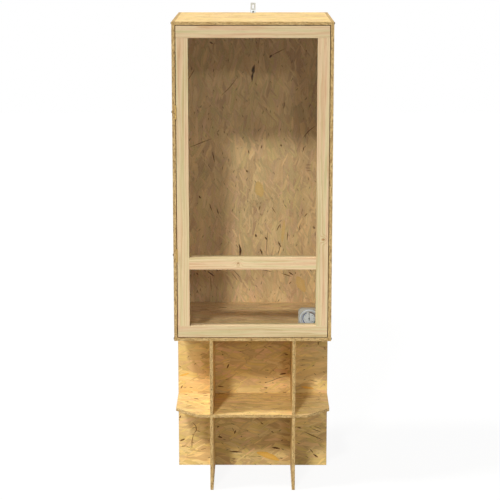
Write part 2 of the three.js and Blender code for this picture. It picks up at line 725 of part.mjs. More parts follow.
// ---- Thermometer, in its own frame: 0, 0, 0 is the middle of the dial on the housing's front face,
// the Y axis runs back through the arbor, and the foot stands on the cabinet floor ----

const seatDepth = LENS_THICKNESS; // the lens is flush with the front of the housing
const recessDepth = seatDepth + DIAL_ROOM;
const dialFront = recessDepth - DIAL_THICKNESS;
const arborHole = ARBOR_RADIUS + ARBOR_CLEARANCE;

function makeHousing() {
  const face = roundedOutline(new THREE.Shape(), GAUGE_SIZE, GAUGE_SIZE, GAUGE_CORNER);
  const extrusion = { depth: GAUGE_DEPTH, bevelEnabled: false, curveSegments: 8 };
  const shell = new THREE.ExtrudeGeometry(face, extrusion);
  shell.rotateX(QUARTER_TURN);
  shell.translate(0, GAUGE_DEPTH, 0);
  const footZ = [-GAUGE_DIAL_HEIGHT, -GAUGE_SIZE / 2 + FULL_CUT];
  const foot = block([-FOOT_WIDTH / 2, FOOT_WIDTH / 2], [0, FOOT_DEPTH], footZ);
  const cutters = [
    rod('y', LENS_RADIUS + LENS_CLEARANCE, [-FULL_CUT, seatDepth], [0, 0, 0], 40),
    rod('y', DIAL_RADIUS + LENS_CLEARANCE, [-FULL_CUT, recessDepth], [0, 0, 0], 40),
    rod('y', arborHole, [0, recessDepth + ARBOR_LENGTH], [0, 0, 0], 12),
  ];
  return piece('thermometer_housing', cutAll(toSolid(shell).add(foot), cutters), greyPlastic);
}

function makeBezel() {
  const middle = (BEZEL_INNER_RADIUS + BEZEL_OUTER_RADIUS) / 2;
  const ring = toSolid(new THREE.LatheGeometry([
    new THREE.Vector2(BEZEL_INNER_RADIUS, 0),
    new THREE.Vector2(BEZEL_OUTER_RADIUS, 0),
    new THREE.Vector2(BEZEL_OUTER_RADIUS, BEZEL_DEPTH / 3),
    new THREE.Vector2(middle, BEZEL_DEPTH),
    new THREE.Vector2(BEZEL_INNER_RADIUS, BEZEL_DEPTH * 0.6),
    new THREE.Vector2(BEZEL_INNER_RADIUS, 0),
  ], 40));
  const bezel = piece('thermometer_bezel', ring, greyPlastic);
  bezel.geometry.rotateX(HALF_TURN);
  return bezel;
}

function makeDial() {
  const disc = rod('y', DIAL_RADIUS, [dialFront, recessDepth], [0, 0, 0], 40);
  const hole = rod('y', arborHole, [0, recessDepth + FULL_CUT], [0, 0, 0], 12);
  return piece('thermometer_dial', disc.subtract(hole), dialCard);
}

function makeLens() {
  const disc = rod('y', LENS_RADIUS, [0, seatDepth], [0, 0, 0], 40);
  return piece('thermometer_lens', disc, clearGlass);
}

function makeNeedle() {
  const needleBack = dialFront - NEEDLE_LIFT;
  const half = NEEDLE_WIDTH / 2;
  const outline = new THREE.Shape([
    new THREE.Vector2(-half, -NEEDLE_TAIL),
    new THREE.Vector2(half, -NEEDLE_TAIL),
    new THREE.Vector2(half / 3, NEEDLE_LENGTH),
    new THREE.Vector2(-half / 3, NEEDLE_LENGTH),
  ]);
  const blade = plate(outline, NEEDLE_THICKNESS).rotate([90, 0, 0]).translate([0, needleBack, 0]);
  const hub = rod('y', HUB_RADIUS, [needleBack - HUB_THICKNESS, needleBack], [0, 0, 0], 16);
  const arborEnd = recessDepth + ARBOR_LENGTH - ARBOR_END_CLEARANCE;
  const arbor = rod('y', ARBOR_RADIUS, [needleBack - NEEDLE_THICKNESS, arborEnd], [0, 0, 0], 12);
  return piece('thermometer_needle', joinAll([blade, hub, arbor]), darkPlastic);
}

const thermometer = new THREE.Group();
thermometer.position.set(
  sideInner - GAUGE_FROM_SIDE,
  front + MEMBER_DEPTH + GAUGE_BEHIND_DOOR,
  BOARD + GAUGE_DIAL_HEIGHT,
);
thermometer.add(makeHousing(), makeBezel(), makeDial(), makeLens(), makeNeedle());

// ---- Assembly ----

const cabinet = new THREE.Group();
cabinet.position.z = STAND_HEIGHT;
cabinet.add(carcass, door, thermometer);

const group = new THREE.Group();
group.add(stand, cabinet);

export default group;
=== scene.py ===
import json
import math
import random

import bmesh
import bpy
from mathutils import Matrix, Vector

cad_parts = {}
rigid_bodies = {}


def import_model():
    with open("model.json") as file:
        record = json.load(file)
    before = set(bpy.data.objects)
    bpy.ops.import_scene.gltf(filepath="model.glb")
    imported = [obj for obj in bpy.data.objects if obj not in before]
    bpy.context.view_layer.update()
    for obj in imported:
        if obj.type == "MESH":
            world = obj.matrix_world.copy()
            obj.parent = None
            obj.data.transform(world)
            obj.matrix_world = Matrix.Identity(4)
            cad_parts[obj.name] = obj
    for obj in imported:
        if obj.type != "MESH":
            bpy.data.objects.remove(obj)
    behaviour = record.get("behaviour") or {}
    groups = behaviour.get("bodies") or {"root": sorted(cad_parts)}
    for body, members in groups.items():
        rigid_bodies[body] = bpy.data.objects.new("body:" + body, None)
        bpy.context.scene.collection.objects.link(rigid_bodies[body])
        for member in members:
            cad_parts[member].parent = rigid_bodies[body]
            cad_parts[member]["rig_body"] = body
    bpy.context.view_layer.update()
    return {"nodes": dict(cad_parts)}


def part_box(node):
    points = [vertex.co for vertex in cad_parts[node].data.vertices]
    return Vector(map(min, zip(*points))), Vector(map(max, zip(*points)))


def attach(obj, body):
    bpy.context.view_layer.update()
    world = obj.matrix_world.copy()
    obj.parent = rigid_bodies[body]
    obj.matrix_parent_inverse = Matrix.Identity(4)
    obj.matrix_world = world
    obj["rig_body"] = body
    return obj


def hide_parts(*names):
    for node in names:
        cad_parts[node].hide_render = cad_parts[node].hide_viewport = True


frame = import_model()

MM = 0.001

# ---- Stand ----
# Four panels of oriented strand board, 12 mm thick: long wood strands of many tones, waxed and
# hot-pressed with resin, so that the faces are flat with a dull gloss and the sawn edges show the ends of
# the strands. They are pushed together with half-lap slots, without screws or glue.


def linear(hex_colour):
    """Linear RGBA of an sRGB colour such as "#d8bd92"."""
    channels = [int(hex_colour[i:i + 2], 16) / 255 for i in (1, 3, 5)]
    return [c / 12.92 if c <= 0.04045 else ((c + 0.055) / 1.055) ** 2.4 for c in channels] + [1.0]


def add_node(tree, kind, inputs=None, **settings):
    """Adds a shader node, sets its properties, and gives each named or numbered input a value or a link.
    A node given as an input stands for its first output."""
    node = tree.nodes.new("ShaderNode" + kind)
    for name, value in settings.items():
        setattr(node, name, value)
    for key, value in (inputs or {}).items():
        if isinstance(value, bpy.types.Node):
            value = value.outputs[0]
        if isinstance(value, bpy.types.NodeSocket):
            tree.links.new(value, node.inputs[key])
        else:
            node.inputs[key].default_value = value
    return node


def new_material(name):
    """Empty node material, and its tree."""
    material = bpy.data.materials.new(name)
    material.use_nodes = True
    material.node_tree.nodes.clear()
    return material, material.node_tree


def spread_ramp(tree, factor, colours):
    """Colour ramp with the sRGB colours at even steps."""
    ramp = add_node(tree, "ValToRGB", {"Fac": factor})
    stops = ramp.color_ramp.elements
    while len(stops) < len(colours):
        stops.new(0.5)
    for i, colour in enumerate(colours):
        stops[i].position = i / (len(colours) - 1)
        stops[i].color = linear(colour)
    return ramp


def grain(tree, place, size, detail, **settings):
    """Noise drawn out to grains of the size, which is in millimetres along each axis of the place."""
    to_metre = [1 / (length * MM) if length else 0 for length in size]
    stretched = add_node(tree, "VectorMath", {0: place, 1: to_metre}, operation="MULTIPLY")
    return add_node(tree, "TexNoise", {"Vector": stretched, "Scale": 1, "Detail": detail}, **settings)


def swayed(tree, place, length, sway, **settings):
    """The place, pushed to and fro over each length in mm, by up to about half the sway in mm along each
    axis."""
    wave = add_node(tree, "TexNoise", {
        "Vector": place, "Scale": 1 / (length * MM), "Detail": 2,
    }, **settings).outputs["Color"]
    wave = add_node(tree, "VectorMath", {0: wave, 1: (0.5, 0.5, 0.5)}, operation="SUBTRACT")
    wave = add_node(tree, "VectorMath", {0: wave, 1: [reach * MM for reach in sway]}, operation="MULTIPLY")
    return add_node(tree, "VectorMath", {0: place, 1: wave}, operation="ADD")


def scattered(tree, place, cell, start, turn):
    """Flakes scattered over the place, one to a cell of so many millimetres. Gives the place from the
    middle of the nearest flake, turned by up to turn radians either way, the flake's random colour, and
    that colour's three numbers."""
    size = Vector((cell[0] * MM, cell[1] * MM, 0))
    cells = add_node(tree, "VectorMath", {
        0: place, 1: (1 / size.x, 1 / size.y, 0), 2: start,
    }, operation="MULTIPLY_ADD")
    flake = add_node(tree, "TexVoronoi", {"Vector": cells, "Scale": 1}, voronoi_dimensions="2D")
    colour = flake.outputs["Color"]
    chance = add_node(tree, "SeparateColor", {"Color": colour}).outputs
    away = add_node(tree, "VectorMath", {0: cells, 1: flake.outputs["Position"]}, operation="SUBTRACT")
    away = add_node(tree, "VectorMath", {0: away, 1: size}, operation="MULTIPLY")
    angle = add_node(tree, "MapRange", {"Value": chance[0], "To Min": -turn, "To Max": turn})
    own = add_node(tree, "VectorRotate", {"Vector": away, "Angle": angle}, rotation_type="Z_AXIS")
    return own, colour, chance


def finish_surface(material, pattern, strength, height, inputs):
    """Ends a material with a principled surface, under a relief of so many millimetres that follows the
    pattern."""
    tree = material.node_tree
    relief = add_node(tree, "Bump", {"Strength": strength, "Distance": height * MM, "Height": pattern})
    surface = add_node(tree, "BsdfPrincipled", {"Normal": relief, **inputs})
    add_node(tree, "OutputMaterial", {"Surface": surface})
    return material


STRAND_LAYERS = [  # turn from the board's long way in degrees, length and width in mm, share shown
    (15, 125, 42, 0.9),
    (-25, 110, 32, 0.75),
    (5, 130, 26, 0.7),
    (-10, 85, 15, 0.5),
    (33, 50, 9, 0.3),
]
STRAND_SKEW = 0.3  # radians, most that a strand lies askew in its layer
STRAND_RELIEF = 0.35  # mm that a strand's edge stands over the next
STRAND_SWAY = (6, 14, 0)  # mm along and across the strands, over each 71 mm
GROUND_FIBRE = (83.333, 8.3333, 0)  # mm, length and width of the bottom layer's grain, coarser than real
STRAND_FIBRE = (111.111, 5.88235)  # mm, of the strands' grain, coarser than real
BARK_CELL = (34, 17)  # mm of board to each fleck of bark
BARK_SHARE = 0.3  # of these cells that have one
BARK_HALF = (9, 2)  # mm, half the length and width of a large fleck
TORN = 0.4  # how far a flake's outline is torn, as a share of its half width


def lay_strands(tree, bent, level, tones, below, below_height):
    """One layer of strands over the colour and the height of those below it. Each has its own width,
    skew, tone and grain, and a narrow painted shade at its edge darkens what lies under it."""
    turn, length, width, share = STRAND_LAYERS[level]
    turned = add_node(tree, "VectorRotate", {
        "Vector": bent, "Angle": math.radians(turn),
    }, rotation_type="Z_AXIS")
    start = (7.3 * level + 1.9, 3.7 * level, 0)
    own, random_colour, chance = scattered(tree, turned, (length, width), start, STRAND_SKEW)
    seed = add_node(tree, "VectorMath", {0: random_colour, "Scale": 40}, operation="SCALE")
    fibre_place = add_node(tree, "VectorMath", {
        0: own, 1: (1 / (STRAND_FIBRE[0] * MM), 1 / (STRAND_FIBRE[1] * MM), 0), 2: seed,
    }, operation="MULTIPLY_ADD")
    fibre = add_node(tree, "TexNoise", {
        "Vector": fibre_place, "Scale": 1, "Detail": 5,
    }, noise_dimensions="2D")

    axes = add_node(tree, "SeparateXYZ", {"Vector": own}).outputs
    along = add_node(tree, "Math", {0: axes["X"]}, operation="ABSOLUTE")
    along = add_node(tree, "Math", {0: along, 1: length * MM / 2}, operation="DIVIDE")
    across = add_node(tree, "Math", {0: axes["Y"]}, operation="ABSOLUTE")
    half_width = add_node(tree, "MapRange", {
        "Value": chance[1], "To Min": 0.22 * width * MM, "To Max": 0.6 * width * MM,
    })
    across = add_node(tree, "Math", {0: across, 1: half_width}, operation="DIVIDE")
    reach = add_node(tree, "Math", {0: along, 1: across}, operation="MAXIMUM")
    torn = add_node(tree, "MapRange", {"Value": fibre, "To Min": -TORN, "To Max": TORN})
    reach = add_node(tree, "Math", {0: reach, 1: torn}, operation="ADD")
    drawn = add_node(tree, "Math", {0: chance[2], 1: share}, operation="LESS_THAN")
    inside = add_node(tree, "MapRange", {
        "Value": reach, "From Min": 1.0, "From Max": 0.95, "To Max": drawn,
    }, interpolation_type="SMOOTHSTEP")
    # Painted shade: a narrow band just outside each strand darkens the strands beneath it, by a random
    # depth, as the shadow the strand would cast.
    painted_shade_band = add_node(tree, "MapRange", {
        "Value": reach, "From Min": 1.15, "From Max": 1.0, "To Max": drawn,
    }, interpolation_type="SMOOTHSTEP")

    tone = add_node(tree, "Math", {0: chance[1], 1: 5.3, 2: 0.2 * level}, operation="MULTIPLY_ADD")
    tone = add_node(tree, "Math", {0: tone}, operation="FRACT")
    streak = add_node(tree, "MapRange", {
        "Value": fibre, "From Min": 0.3, "From Max": 0.7, "To Min": 0.9, "To Max": 1.08,
    })
    strand_colour = add_node(tree, "VectorMath", {
        0: spread_ramp(tree, tone, tones), "Scale": streak,
    }, operation="SCALE")
    deepest_painted_shade = add_node(tree, "MapRange", {"Value": chance[0], "To Min": 0.76, "To Max": 1.0})
    shade = add_node(tree, "MapRange", {"Value": painted_shade_band, "To Min": 1.0, "To Max": deepest_painted_shade})
    below = add_node(tree, "VectorMath", {0: below, "Scale": shade}, operation="SCALE")
    colour = add_node(tree, "MixRGB", {"Fac": inside, "Color1": below, "Color2": strand_colour})
    lift = add_node(tree, "Math", {0: fibre, 1: 0.25, 2: 0.4 + 0.25 * level}, operation="MULTIPLY_ADD")
    height = add_node(tree, "MixRGB", {"Fac": inside, "Color1": below_height, "Color2": lift})
    return colour, height


def fleck_with_bark(tree, place, bent, colour):
    """Small brown flecks of bark over the colour, each with a torn outline that fades into the wood."""
    own, _, chance = scattered(tree, bent, BARK_CELL, (0, 0, 0), 0.8)
    reach = add_node(tree, "VectorMath", {
        0: own, 1: (1 / (BARK_HALF[0] * MM), 1 / (BARK_HALF[1] * MM), 0),
    }, operation="MULTIPLY")
    reach = add_node(tree, "VectorMath", {0: reach}, operation="LENGTH").outputs["Value"]
    torn = add_node(tree, "TexNoise", {
        "Vector": place, "Scale": 1 / (5.88235 * MM), "Detail": 3,
    }, noise_dimensions="2D")
    torn = add_node(tree, "MapRange", {"Value": torn, "To Min": -TORN, "To Max": TORN})
    reach = add_node(tree, "Math", {0: reach, 1: torn}, operation="ADD")
    outer = add_node(tree, "MapRange", {
        "Value": chance[2], "From Max": BARK_SHARE, "To Min": 1.1, "To Max": 0.25,
    })
    inner = add_node(tree, "Math", {0: outer, 1: 0.5}, operation="MULTIPLY")
    drawn = add_node(tree, "Math", {0: chance[2], 1: BARK_SHARE}, operation="LESS_THAN")
    drawn = add_node(tree, "Math", {0: drawn, 1: 0.75}, operation="MULTIPLY")
    fleck = add_node(tree, "MapRange", {
        "Value": reach, "From Min": outer, "From Max": inner, "To Max": drawn,
    }, interpolation_type="SMOOTHSTEP")
    return add_node(tree, "MixRGB", {"Fac": fleck, "Color1": colour, "Color2": linear("#6b4a26")})


def strand_board_face(name, strand_tones, ground_tones):
    """Pressed face: strands lie over each other in layers, each with its own tone and grain, and with
    ends that are torn along the grain. The grain is drawn coarser than real so that it can be seen."""
    material, tree = new_material(name)
    place = add_node(tree, "Attribute", attribute_name="board").outputs["Vector"]
    bent = swayed(tree, place, 71.4286, STRAND_SWAY, noise_dimensions="2D")
    height = grain(tree, bent, GROUND_FIBRE, 5, noise_dimensions="2D")
    colour = spread_ramp(tree, height, ground_tones)
    for level in range(len(STRAND_LAYERS)):
        colour, height = lay_strands(tree, bent, level, strand_tones, colour, height)
    colour = fleck_with_bark(tree, place, bent, colour)
    clouds = add_node(tree, "TexNoise", {
        "Vector": bent, "Scale": 1 / (125 * MM), "Detail": 4,
    }, noise_dimensions="2D")
    clouds = add_node(tree, "MapRange", {
        "Value": clouds, "From Min": 0.3, "From Max": 0.7, "To Min": 0.9, "To Max": 1.08,
    })
    colour = add_node(tree, "VectorMath", {0: colour, "Scale": clouds}, operation="SCALE")
    roughness = add_node(tree, "MapRange", {"Value": height, "To Min": 0.72, "To Max": 0.56})
    return finish_surface(material, height, 0.6, STRAND_RELIEF, {
        "Base Color": colour, "Roughness": roughness, "IOR": 1.5, "Specular IOR Level": 0.12,
    })


EDGE_TONES = ["#916f40", "#b38f57", "#cfad72", "#e2c48b", "#c19e62"]
STRAND_END = (11, 0.9)  # mm, length and thickness of a cut strand on a sawn edge
EDGE_SWAY = (6, 3, 0)  # mm along and through the board, over each 11 mm
EDGE_BREAK = (9, 6, 1000)  # mm, length and height of the places where the saw has broken strands out
EDGE_RELIEF = 0.5  # mm


def strand_board_edge():
    """Sawn edge: thin strand ends pressed in layers, with painted shade in the gaps between them and in
    small breaks where the saw has torn some out."""
    material, tree = new_material("strand_board_edge")
    place = add_node(tree, "Attribute", attribute_name="board").outputs["Vector"]
    bent = swayed(tree, place, 11.1111, EDGE_SWAY)
    ends = add_node(tree, "VectorMath", {
        0: bent, 1: (STRAND_END[0] * MM, STRAND_END[1] * MM, 1),
    }, operation="DIVIDE")
    strand = add_node(tree, "TexVoronoi", {"Vector": ends, "Scale": 1}, voronoi_dimensions="2D")
    chance = add_node(tree, "SeparateColor", {"Color": strand.outputs["Color"]}).outputs
    gap = add_node(tree, "TexVoronoi", {
        "Vector": ends, "Scale": 1,
    }, voronoi_dimensions="2D", feature="DISTANCE_TO_EDGE")
    # Painted shade: the colour darkens towards the gaps between strand ends, which the relief also sinks.
    gap = add_node(tree, "MapRange", {"Value": gap, "From Max": 0.16, "To Min": 0.7, "To Max": 1})
    colour = add_node(tree, "VectorMath", {
        0: spread_ramp(tree, chance[0], EDGE_TONES), "Scale": gap,
    }, operation="SCALE")
    # Painted shade: the sunk breaks are also coloured dark brown.
    void = add_node(tree, "MapRange", {
        "Value": grain(tree, place, EDGE_BREAK, 3), "From Min": 0.57, "From Max": 0.68, "To Max": 0.75,
    }, interpolation_type="SMOOTHSTEP")
    colour = add_node(tree, "MixRGB", {"Fac": void, "Color1": colour, "Color2": linear("#5d4120")})
    height = add_node(tree, "Math", {0: gap, 1: void}, operation="SUBTRACT")
    return finish_surface(material, height, 0.8, EDGE_RELIEF, {
        "Base Color": colour, "Roughness": 0.82, "IOR": 1.5, "Specular IOR Level": 0.25,
    })


def welded_copy(node_name, arris, segments):
    """bmesh of a CAD node with its flat faces whole again and its sharp edges eased by arris
    millimetres."""
    shape = bmesh.new()
    shape.from_mesh(frame["nodes"][node_name].data)
    bmesh.ops.remove_doubles(shape, verts=shape.verts, dist=0.001 * MM)
    bmesh.ops.dissolve_limit(
        shape, angle_limit=math.radians(1), verts=shape.verts, edges=shape.edges, delimit={"NORMAL"},
    )
    sharp = [edge for edge in shape.edges if edge.calc_face_angle(0) > math.radians(35)]
    bmesh.ops.bevel(
        shape, geom=sharp, offset=arris * MM, segments=segments, profile=0.5, affect="EDGES",
        clamp_overlap=True,
    )
    return shape


def mesh_object(name, shape, *materials):
    """Object of the bmesh, with its materials."""
    mesh = bpy.data.meshes.new(name)
    shape.to_mesh(mesh)
    shape.free()
    for material in materials:
        mesh.materials.append(material)
    piece = bpy.data.objects.new(name, mesh)
    bpy.context.scene.collection.objects.link(piece)
    return piece


def dressed(node_name, suffix, slot_name, shape, *materials):
    """Makes a piece of the bmesh that stands for the CAD node and rides where the node rides."""
    piece = mesh_object(node_name + suffix, shape, *materials)
    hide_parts(node_name)
    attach(piece, frame["nodes"][node_name]["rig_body"])
    return piece


BOARD_ARRIS = 0.7  # mm, how far sawing and handling have rounded the edges
SHEET_STEP = Vector((1.37, 0.83, 0))  # m in the pattern from the sheet of one board to that of the next
AXES = {"x": Vector((1, 0, 0)), "y": Vector((0, 1, 0)), "z": Vector((0, 0, 1))}
stand_face = strand_board_face(
    "strand_board_amber_face",
    ["#d0a970", "#e2c183", "#efd08f", "#e5c67a", "#d5b674", "#f1ce83", "#e9c08a", "#d0ad71"],
    ["#cda467", "#e0bb79", "#e9c585", "#d7b472"],
)
board_edge = strand_board_edge()


def make_board(sheet, node_name, thickness_axis, strand_axis, face):
    """Board whose faces and sawn edges have their own material. The board attribute lays the pattern out
    flat on each: along and across the strands on a face, along and through the board on an edge. The
    sheet's number moves the pattern, so that no two boards are alike."""
    through = AXES[thickness_axis]
    along = AXES[strand_axis]
    across = through.cross(along)
    shift = Vector((SHEET_STEP.x * sheet, SHEET_STEP.y * sheet, 0))
    shape = welded_copy(node_name, BOARD_ARRIS, 1)
    mesh = dressed(node_name, "_board", "strand_board", shape, face, board_edge).data
    laid_out = mesh.attributes.new("board", "FLOAT_VECTOR", "CORNER")
    for polygon in mesh.polygons:
        facing = polygon.normal.dot(through)
        is_face = abs(facing) > 0.95
        polygon.material_index = 0 if is_face else 1
        run = polygon.normal.cross(through).normalized()
        for corner in polygon.loop_indices:
            point = mesh.vertices[mesh.loops[corner].vertex_index].co
            if is_face:
                flat = Vector((point.dot(along), point.dot(across), 0)) + shift * math.copysign(1, facing)
            else:
                flat = Vector((point.dot(run), point.dot(through), 0)) + shift
            laid_out.data[corner].vector = flat


make_board(1, "cross_panel", "y", "x", stand_face)
make_board(2, "fin_left", "x", "y", stand_face)
make_board(3, "fin_right", "x", "y", stand_face)
make_board(4, "front_shelf", "z", "x", stand_face)


def bark():
    """Dark inner and outer bark, pressed flat with the strands: brown at its thin rim, almost black
    inside."""
    material, tree = new_material("pressed_bark")
    heart = add_node(tree, "Attribute", attribute_name="heart").outputs["Fac"]
    place = add_node(tree, "TexCoord").outputs["Object"]
    fibre = add_node(tree, "TexNoise", {"Vector": place, "Scale": 1 / (2.5 * MM), "Detail": 3})
    tone = add_node(tree, "Math", {0: fibre, 1: 0.5, 2: heart}, operation="MULTIPLY_ADD")
    tone = add_node(tree, "Math", {0: tone, 1: 0.75}, operation="MULTIPLY")
    return finish_surface(material, fibre, 0.5, 0.3, {
        "Base Color": spread_ramp(tree, tone, ["#a5783f", "#7d5529", "#4f3318", "#2e1c0f"]),
        "Roughness": 0.75, "Specular IOR Level": 0.3,
    })


def golden_wood(name, tones):
    """Strand of resin-rich heartwood: golden yellow, with fine darker grain."""
    material, tree = new_material(name)
    heart = add_node(tree, "Attribute", attribute_name="heart").outputs["Fac"]
    place = add_node(tree, "TexCoord").outputs["Object"]
    fibre = add_node(tree, "TexNoise", {"Vector": place, "Scale": 1 / (3.84615 * MM), "Detail": 4})
    tone = add_node(tree, "Math", {0: heart, 1: 0.35, 2: fibre}, operation="MULTIPLY_ADD")
    return finish_surface(material, fibre, 0.4, 0.2, {
        "Base Color": spread_ramp(tree, tone, tones), "Roughness": 0.6, "Specular IOR Level": 0.2,
    })


pressed_bark = bark()
golden_strand = golden_wood("golden_strand", ["#cb9540", "#dfa84a", "#eab654", "#f0c062"])
LEAF_PROUD = 0.12  # mm over the board's face
LEAF_SUNK = 0.3
LEAF_STEPS = 9  # along a leaf
LEAF_TIP = 0.06  # half width at a tip, as a share of the greatest
DARK_WIDTH = 9  # mm from which a leaf of bark is darkest at its middle


def pressed_leaves(name, origin, right, up, leaves, material, seed):
    """Leaves of bark or wood on one face of a board. Each is a path of points in mm along right and up
    from the origin, after its greatest width, drawn as a thin leaf with a torn outline."""
    spread = random.Random(seed)
    out = right.cross(up)
    shape = bmesh.new()
    heart = shape.verts.layers.float.new("heart")
    for width, *points in leaves:
        path = [Vector(point) for point in points]
        rows = []
        for i in range(LEAF_STEPS + 1):
            share = i / LEAF_STEPS
            leg = min(int(share * (len(path) - 1)), len(path) - 2)
            start, end = path[leg], path[leg + 1]
            middle = start.lerp(end, share * (len(path) - 1) - leg)
            side = (end - start).normalized()
            side = Vector((-side.y, side.x))
            half = width / 2 * max(LEAF_TIP, math.sin(math.pi * share)) ** 0.6
            row = []
            for edge, on_top, inner in ((-1, 1, 0), (0, 1, 1), (1, 1, 0), (1, 0, 0), (-1, 0, 0)):
                ragged = half * edge * spread.uniform(0.7, 1.15)
                flat = middle + side * ragged
                level = LEAF_PROUD if on_top else -LEAF_SUNK
                vertex = shape.verts.new(origin + (right * flat.x + up * flat.y + out * level) * MM)
                vertex[heart] = inner * math.sin(math.pi * share) * min(1, width / DARK_WIDTH)
                row.append(vertex)
            rows.append(row)
        for row, following in zip(rows, rows[1:]):
            for k in range(5):
                shape.faces.new((row[k], following[k], following[(k + 1) % 5], row[(k + 1) % 5]))
        shape.faces.new(rows[0])
        shape.faces.new(rows[-1][::-1])
    bmesh.ops.recalc_face_normals(shape, faces=shape.faces)
    piece = mesh_object(name, shape, material)
    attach(piece, "root")


cross_low, cross_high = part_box("cross_panel")
cross_front = (Vector((0, cross_low.y, 0)), AXES["x"], AXES["z"])
shelf_top = (Vector((0, 0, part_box("front_shelf")[1].z)), AXES["x"], AXES["y"])
pressed_leaves("cross_panel_bark", *cross_front, [
    # upper bays
    (6, (-104, 408), (-96, 427)), (5, (-124, 465), (-118, 467)), (5, (-142, 334), (-117, 331)),
    (4, (48, 348), (56, 351)), (2.4, (51, 349), (77, 357), (105, 369), (136, 376)),
    (5, (45, 327), (60, 327)), (3.5, (118, 309), (137, 308)), (7, (108, 383), (134, 388)),
    (5, (129, 466), (142, 466)), (5, (263, 506), (262, 520)), (3, (214, 501), (221, 503)),
    (4, (-291, 324), (-283, 337)), (3, (-262, 455), (-256, 459)), (3, (-236, 424), (-228, 430)),
    (2, (-60, 476), (-30, 484)), (2.5, (60, 500), (78, 497)), (2.5, (190, 420), (214, 424)),
    (2.5, (230, 360), (262, 352)),
    # lower left bay
    (6, (-297, 198), (-292, 210)), (4, (-244, 182), (-231, 166), (-229, 148), (-238, 134)),
    (3.6, (-240, 132), (-247, 104), (-248, 72)), (7.5, (-296, 102), (-275, 112)),
    (3, (-212, 66), (-190, 71)), (2.2, (-296, 76), (-272, 82), (-250, 70)), (2, (-240, 62), (-210, 58)),
    (2, (-270, 40), (-236, 44)),
    # lower middle bay
    (6.5, (-146, 161), (-136, 164)), (8, (-142, 121), (-123, 117)), (3, (-136, 128), (-131, 116)),
    (2.4, (-84, 160), (-75, 142)), (6.5, (-75, 133), (-69, 148)), (4.5, (-49, 120), (-43, 124)),
    (6.5, (-95, 58), (-43, 55)), (3, (-84, 28), (-69, 28)), (5, (31, 182), (43, 173)),
    (5, (75, 143), (83, 140)), (4, (115, 104), (122, 107)), (8, (76, 76), (112, 70)),
    (4, (110, 31), (122, 27)), (2, (-30, 40), (20, 34)),
    # lower right bay
    (5.5, (180, 161), (198, 157)), (4.6, (210, 141), (240, 127), (285, 107)), (3, (238, 156), (278, 140)),
    (3, (244, 166), (280, 154)), (5, (233, 68), (246, 52)), (7.5, (245, 48), (266, 33)),
    (3, (180, 96), (192, 90)),
], pressed_bark, 3)
pressed_leaves("front_shelf_bark", *shelf_top, [
    (7, (-276, -28), (-261, -32)), (6, (-204, -20), (-184, -14)), (7, (-200, -50), (-180, -42)),
    (7, (-236, -80), (-214, -96)), (5, (-262, -190), (-238, -176)), (5, (-205, -150), (-188, -166)),
    (5, (-268, -120), (-252, -126)), (6, (-140, -20), (-112, -15)), (4, (-100, -60), (-60, -52)),
    (5, (-14, -26), (8, -22)), (3, (-60, -150), (-20, -158)), (4, (40, -100), (90, -112)),
    (4, (70, -220), (120, -214)), (4, (-130, -240), (-96, -228)), (4, (200, -60), (236, -66)),
    (3, (186, -190), (230, -200)), (5, (250, -96), (272, -90)),
], pressed_bark, 5)
pressed_leaves("cross_panel_gold", *cross_front, [
    (24, (16, 54), (60, 42), (108, 20)), (8, (-296, 376), (-256, 388)), (10, (196, 332), (246, 324)),
], golden_strand, 6)

# ---- Cabinet carcass ----
# Five panels of the same strand board. The top and bottom stand between the sides, and the back stands in
# between all four. Screws through the sides hold them, so only the sawn edges show at the front.

cabinet_face = strand_board_face(
    "strand_board_pale_face",
    ["#d1ab81", "#e2c08b", "#eece99", "#e2c78b", "#d5b887", "#f0ce94", "#e6c094", "#d2b082"],
    ["#cea777", "#dfb986", "#e8c491", "#d7b580"],
)
make_board(5, "bottom_panel", "z", "x", cabinet_face)
make_board(6, "top_panel", "z", "x", stand_face)
make_board(7, "back_panel", "y", "z", cabinet_face)
make_board(8, "side_panel_left", "x", "z", cabinet_face)
make_board(9, "side_panel_right", "x", "z", cabinet_face)

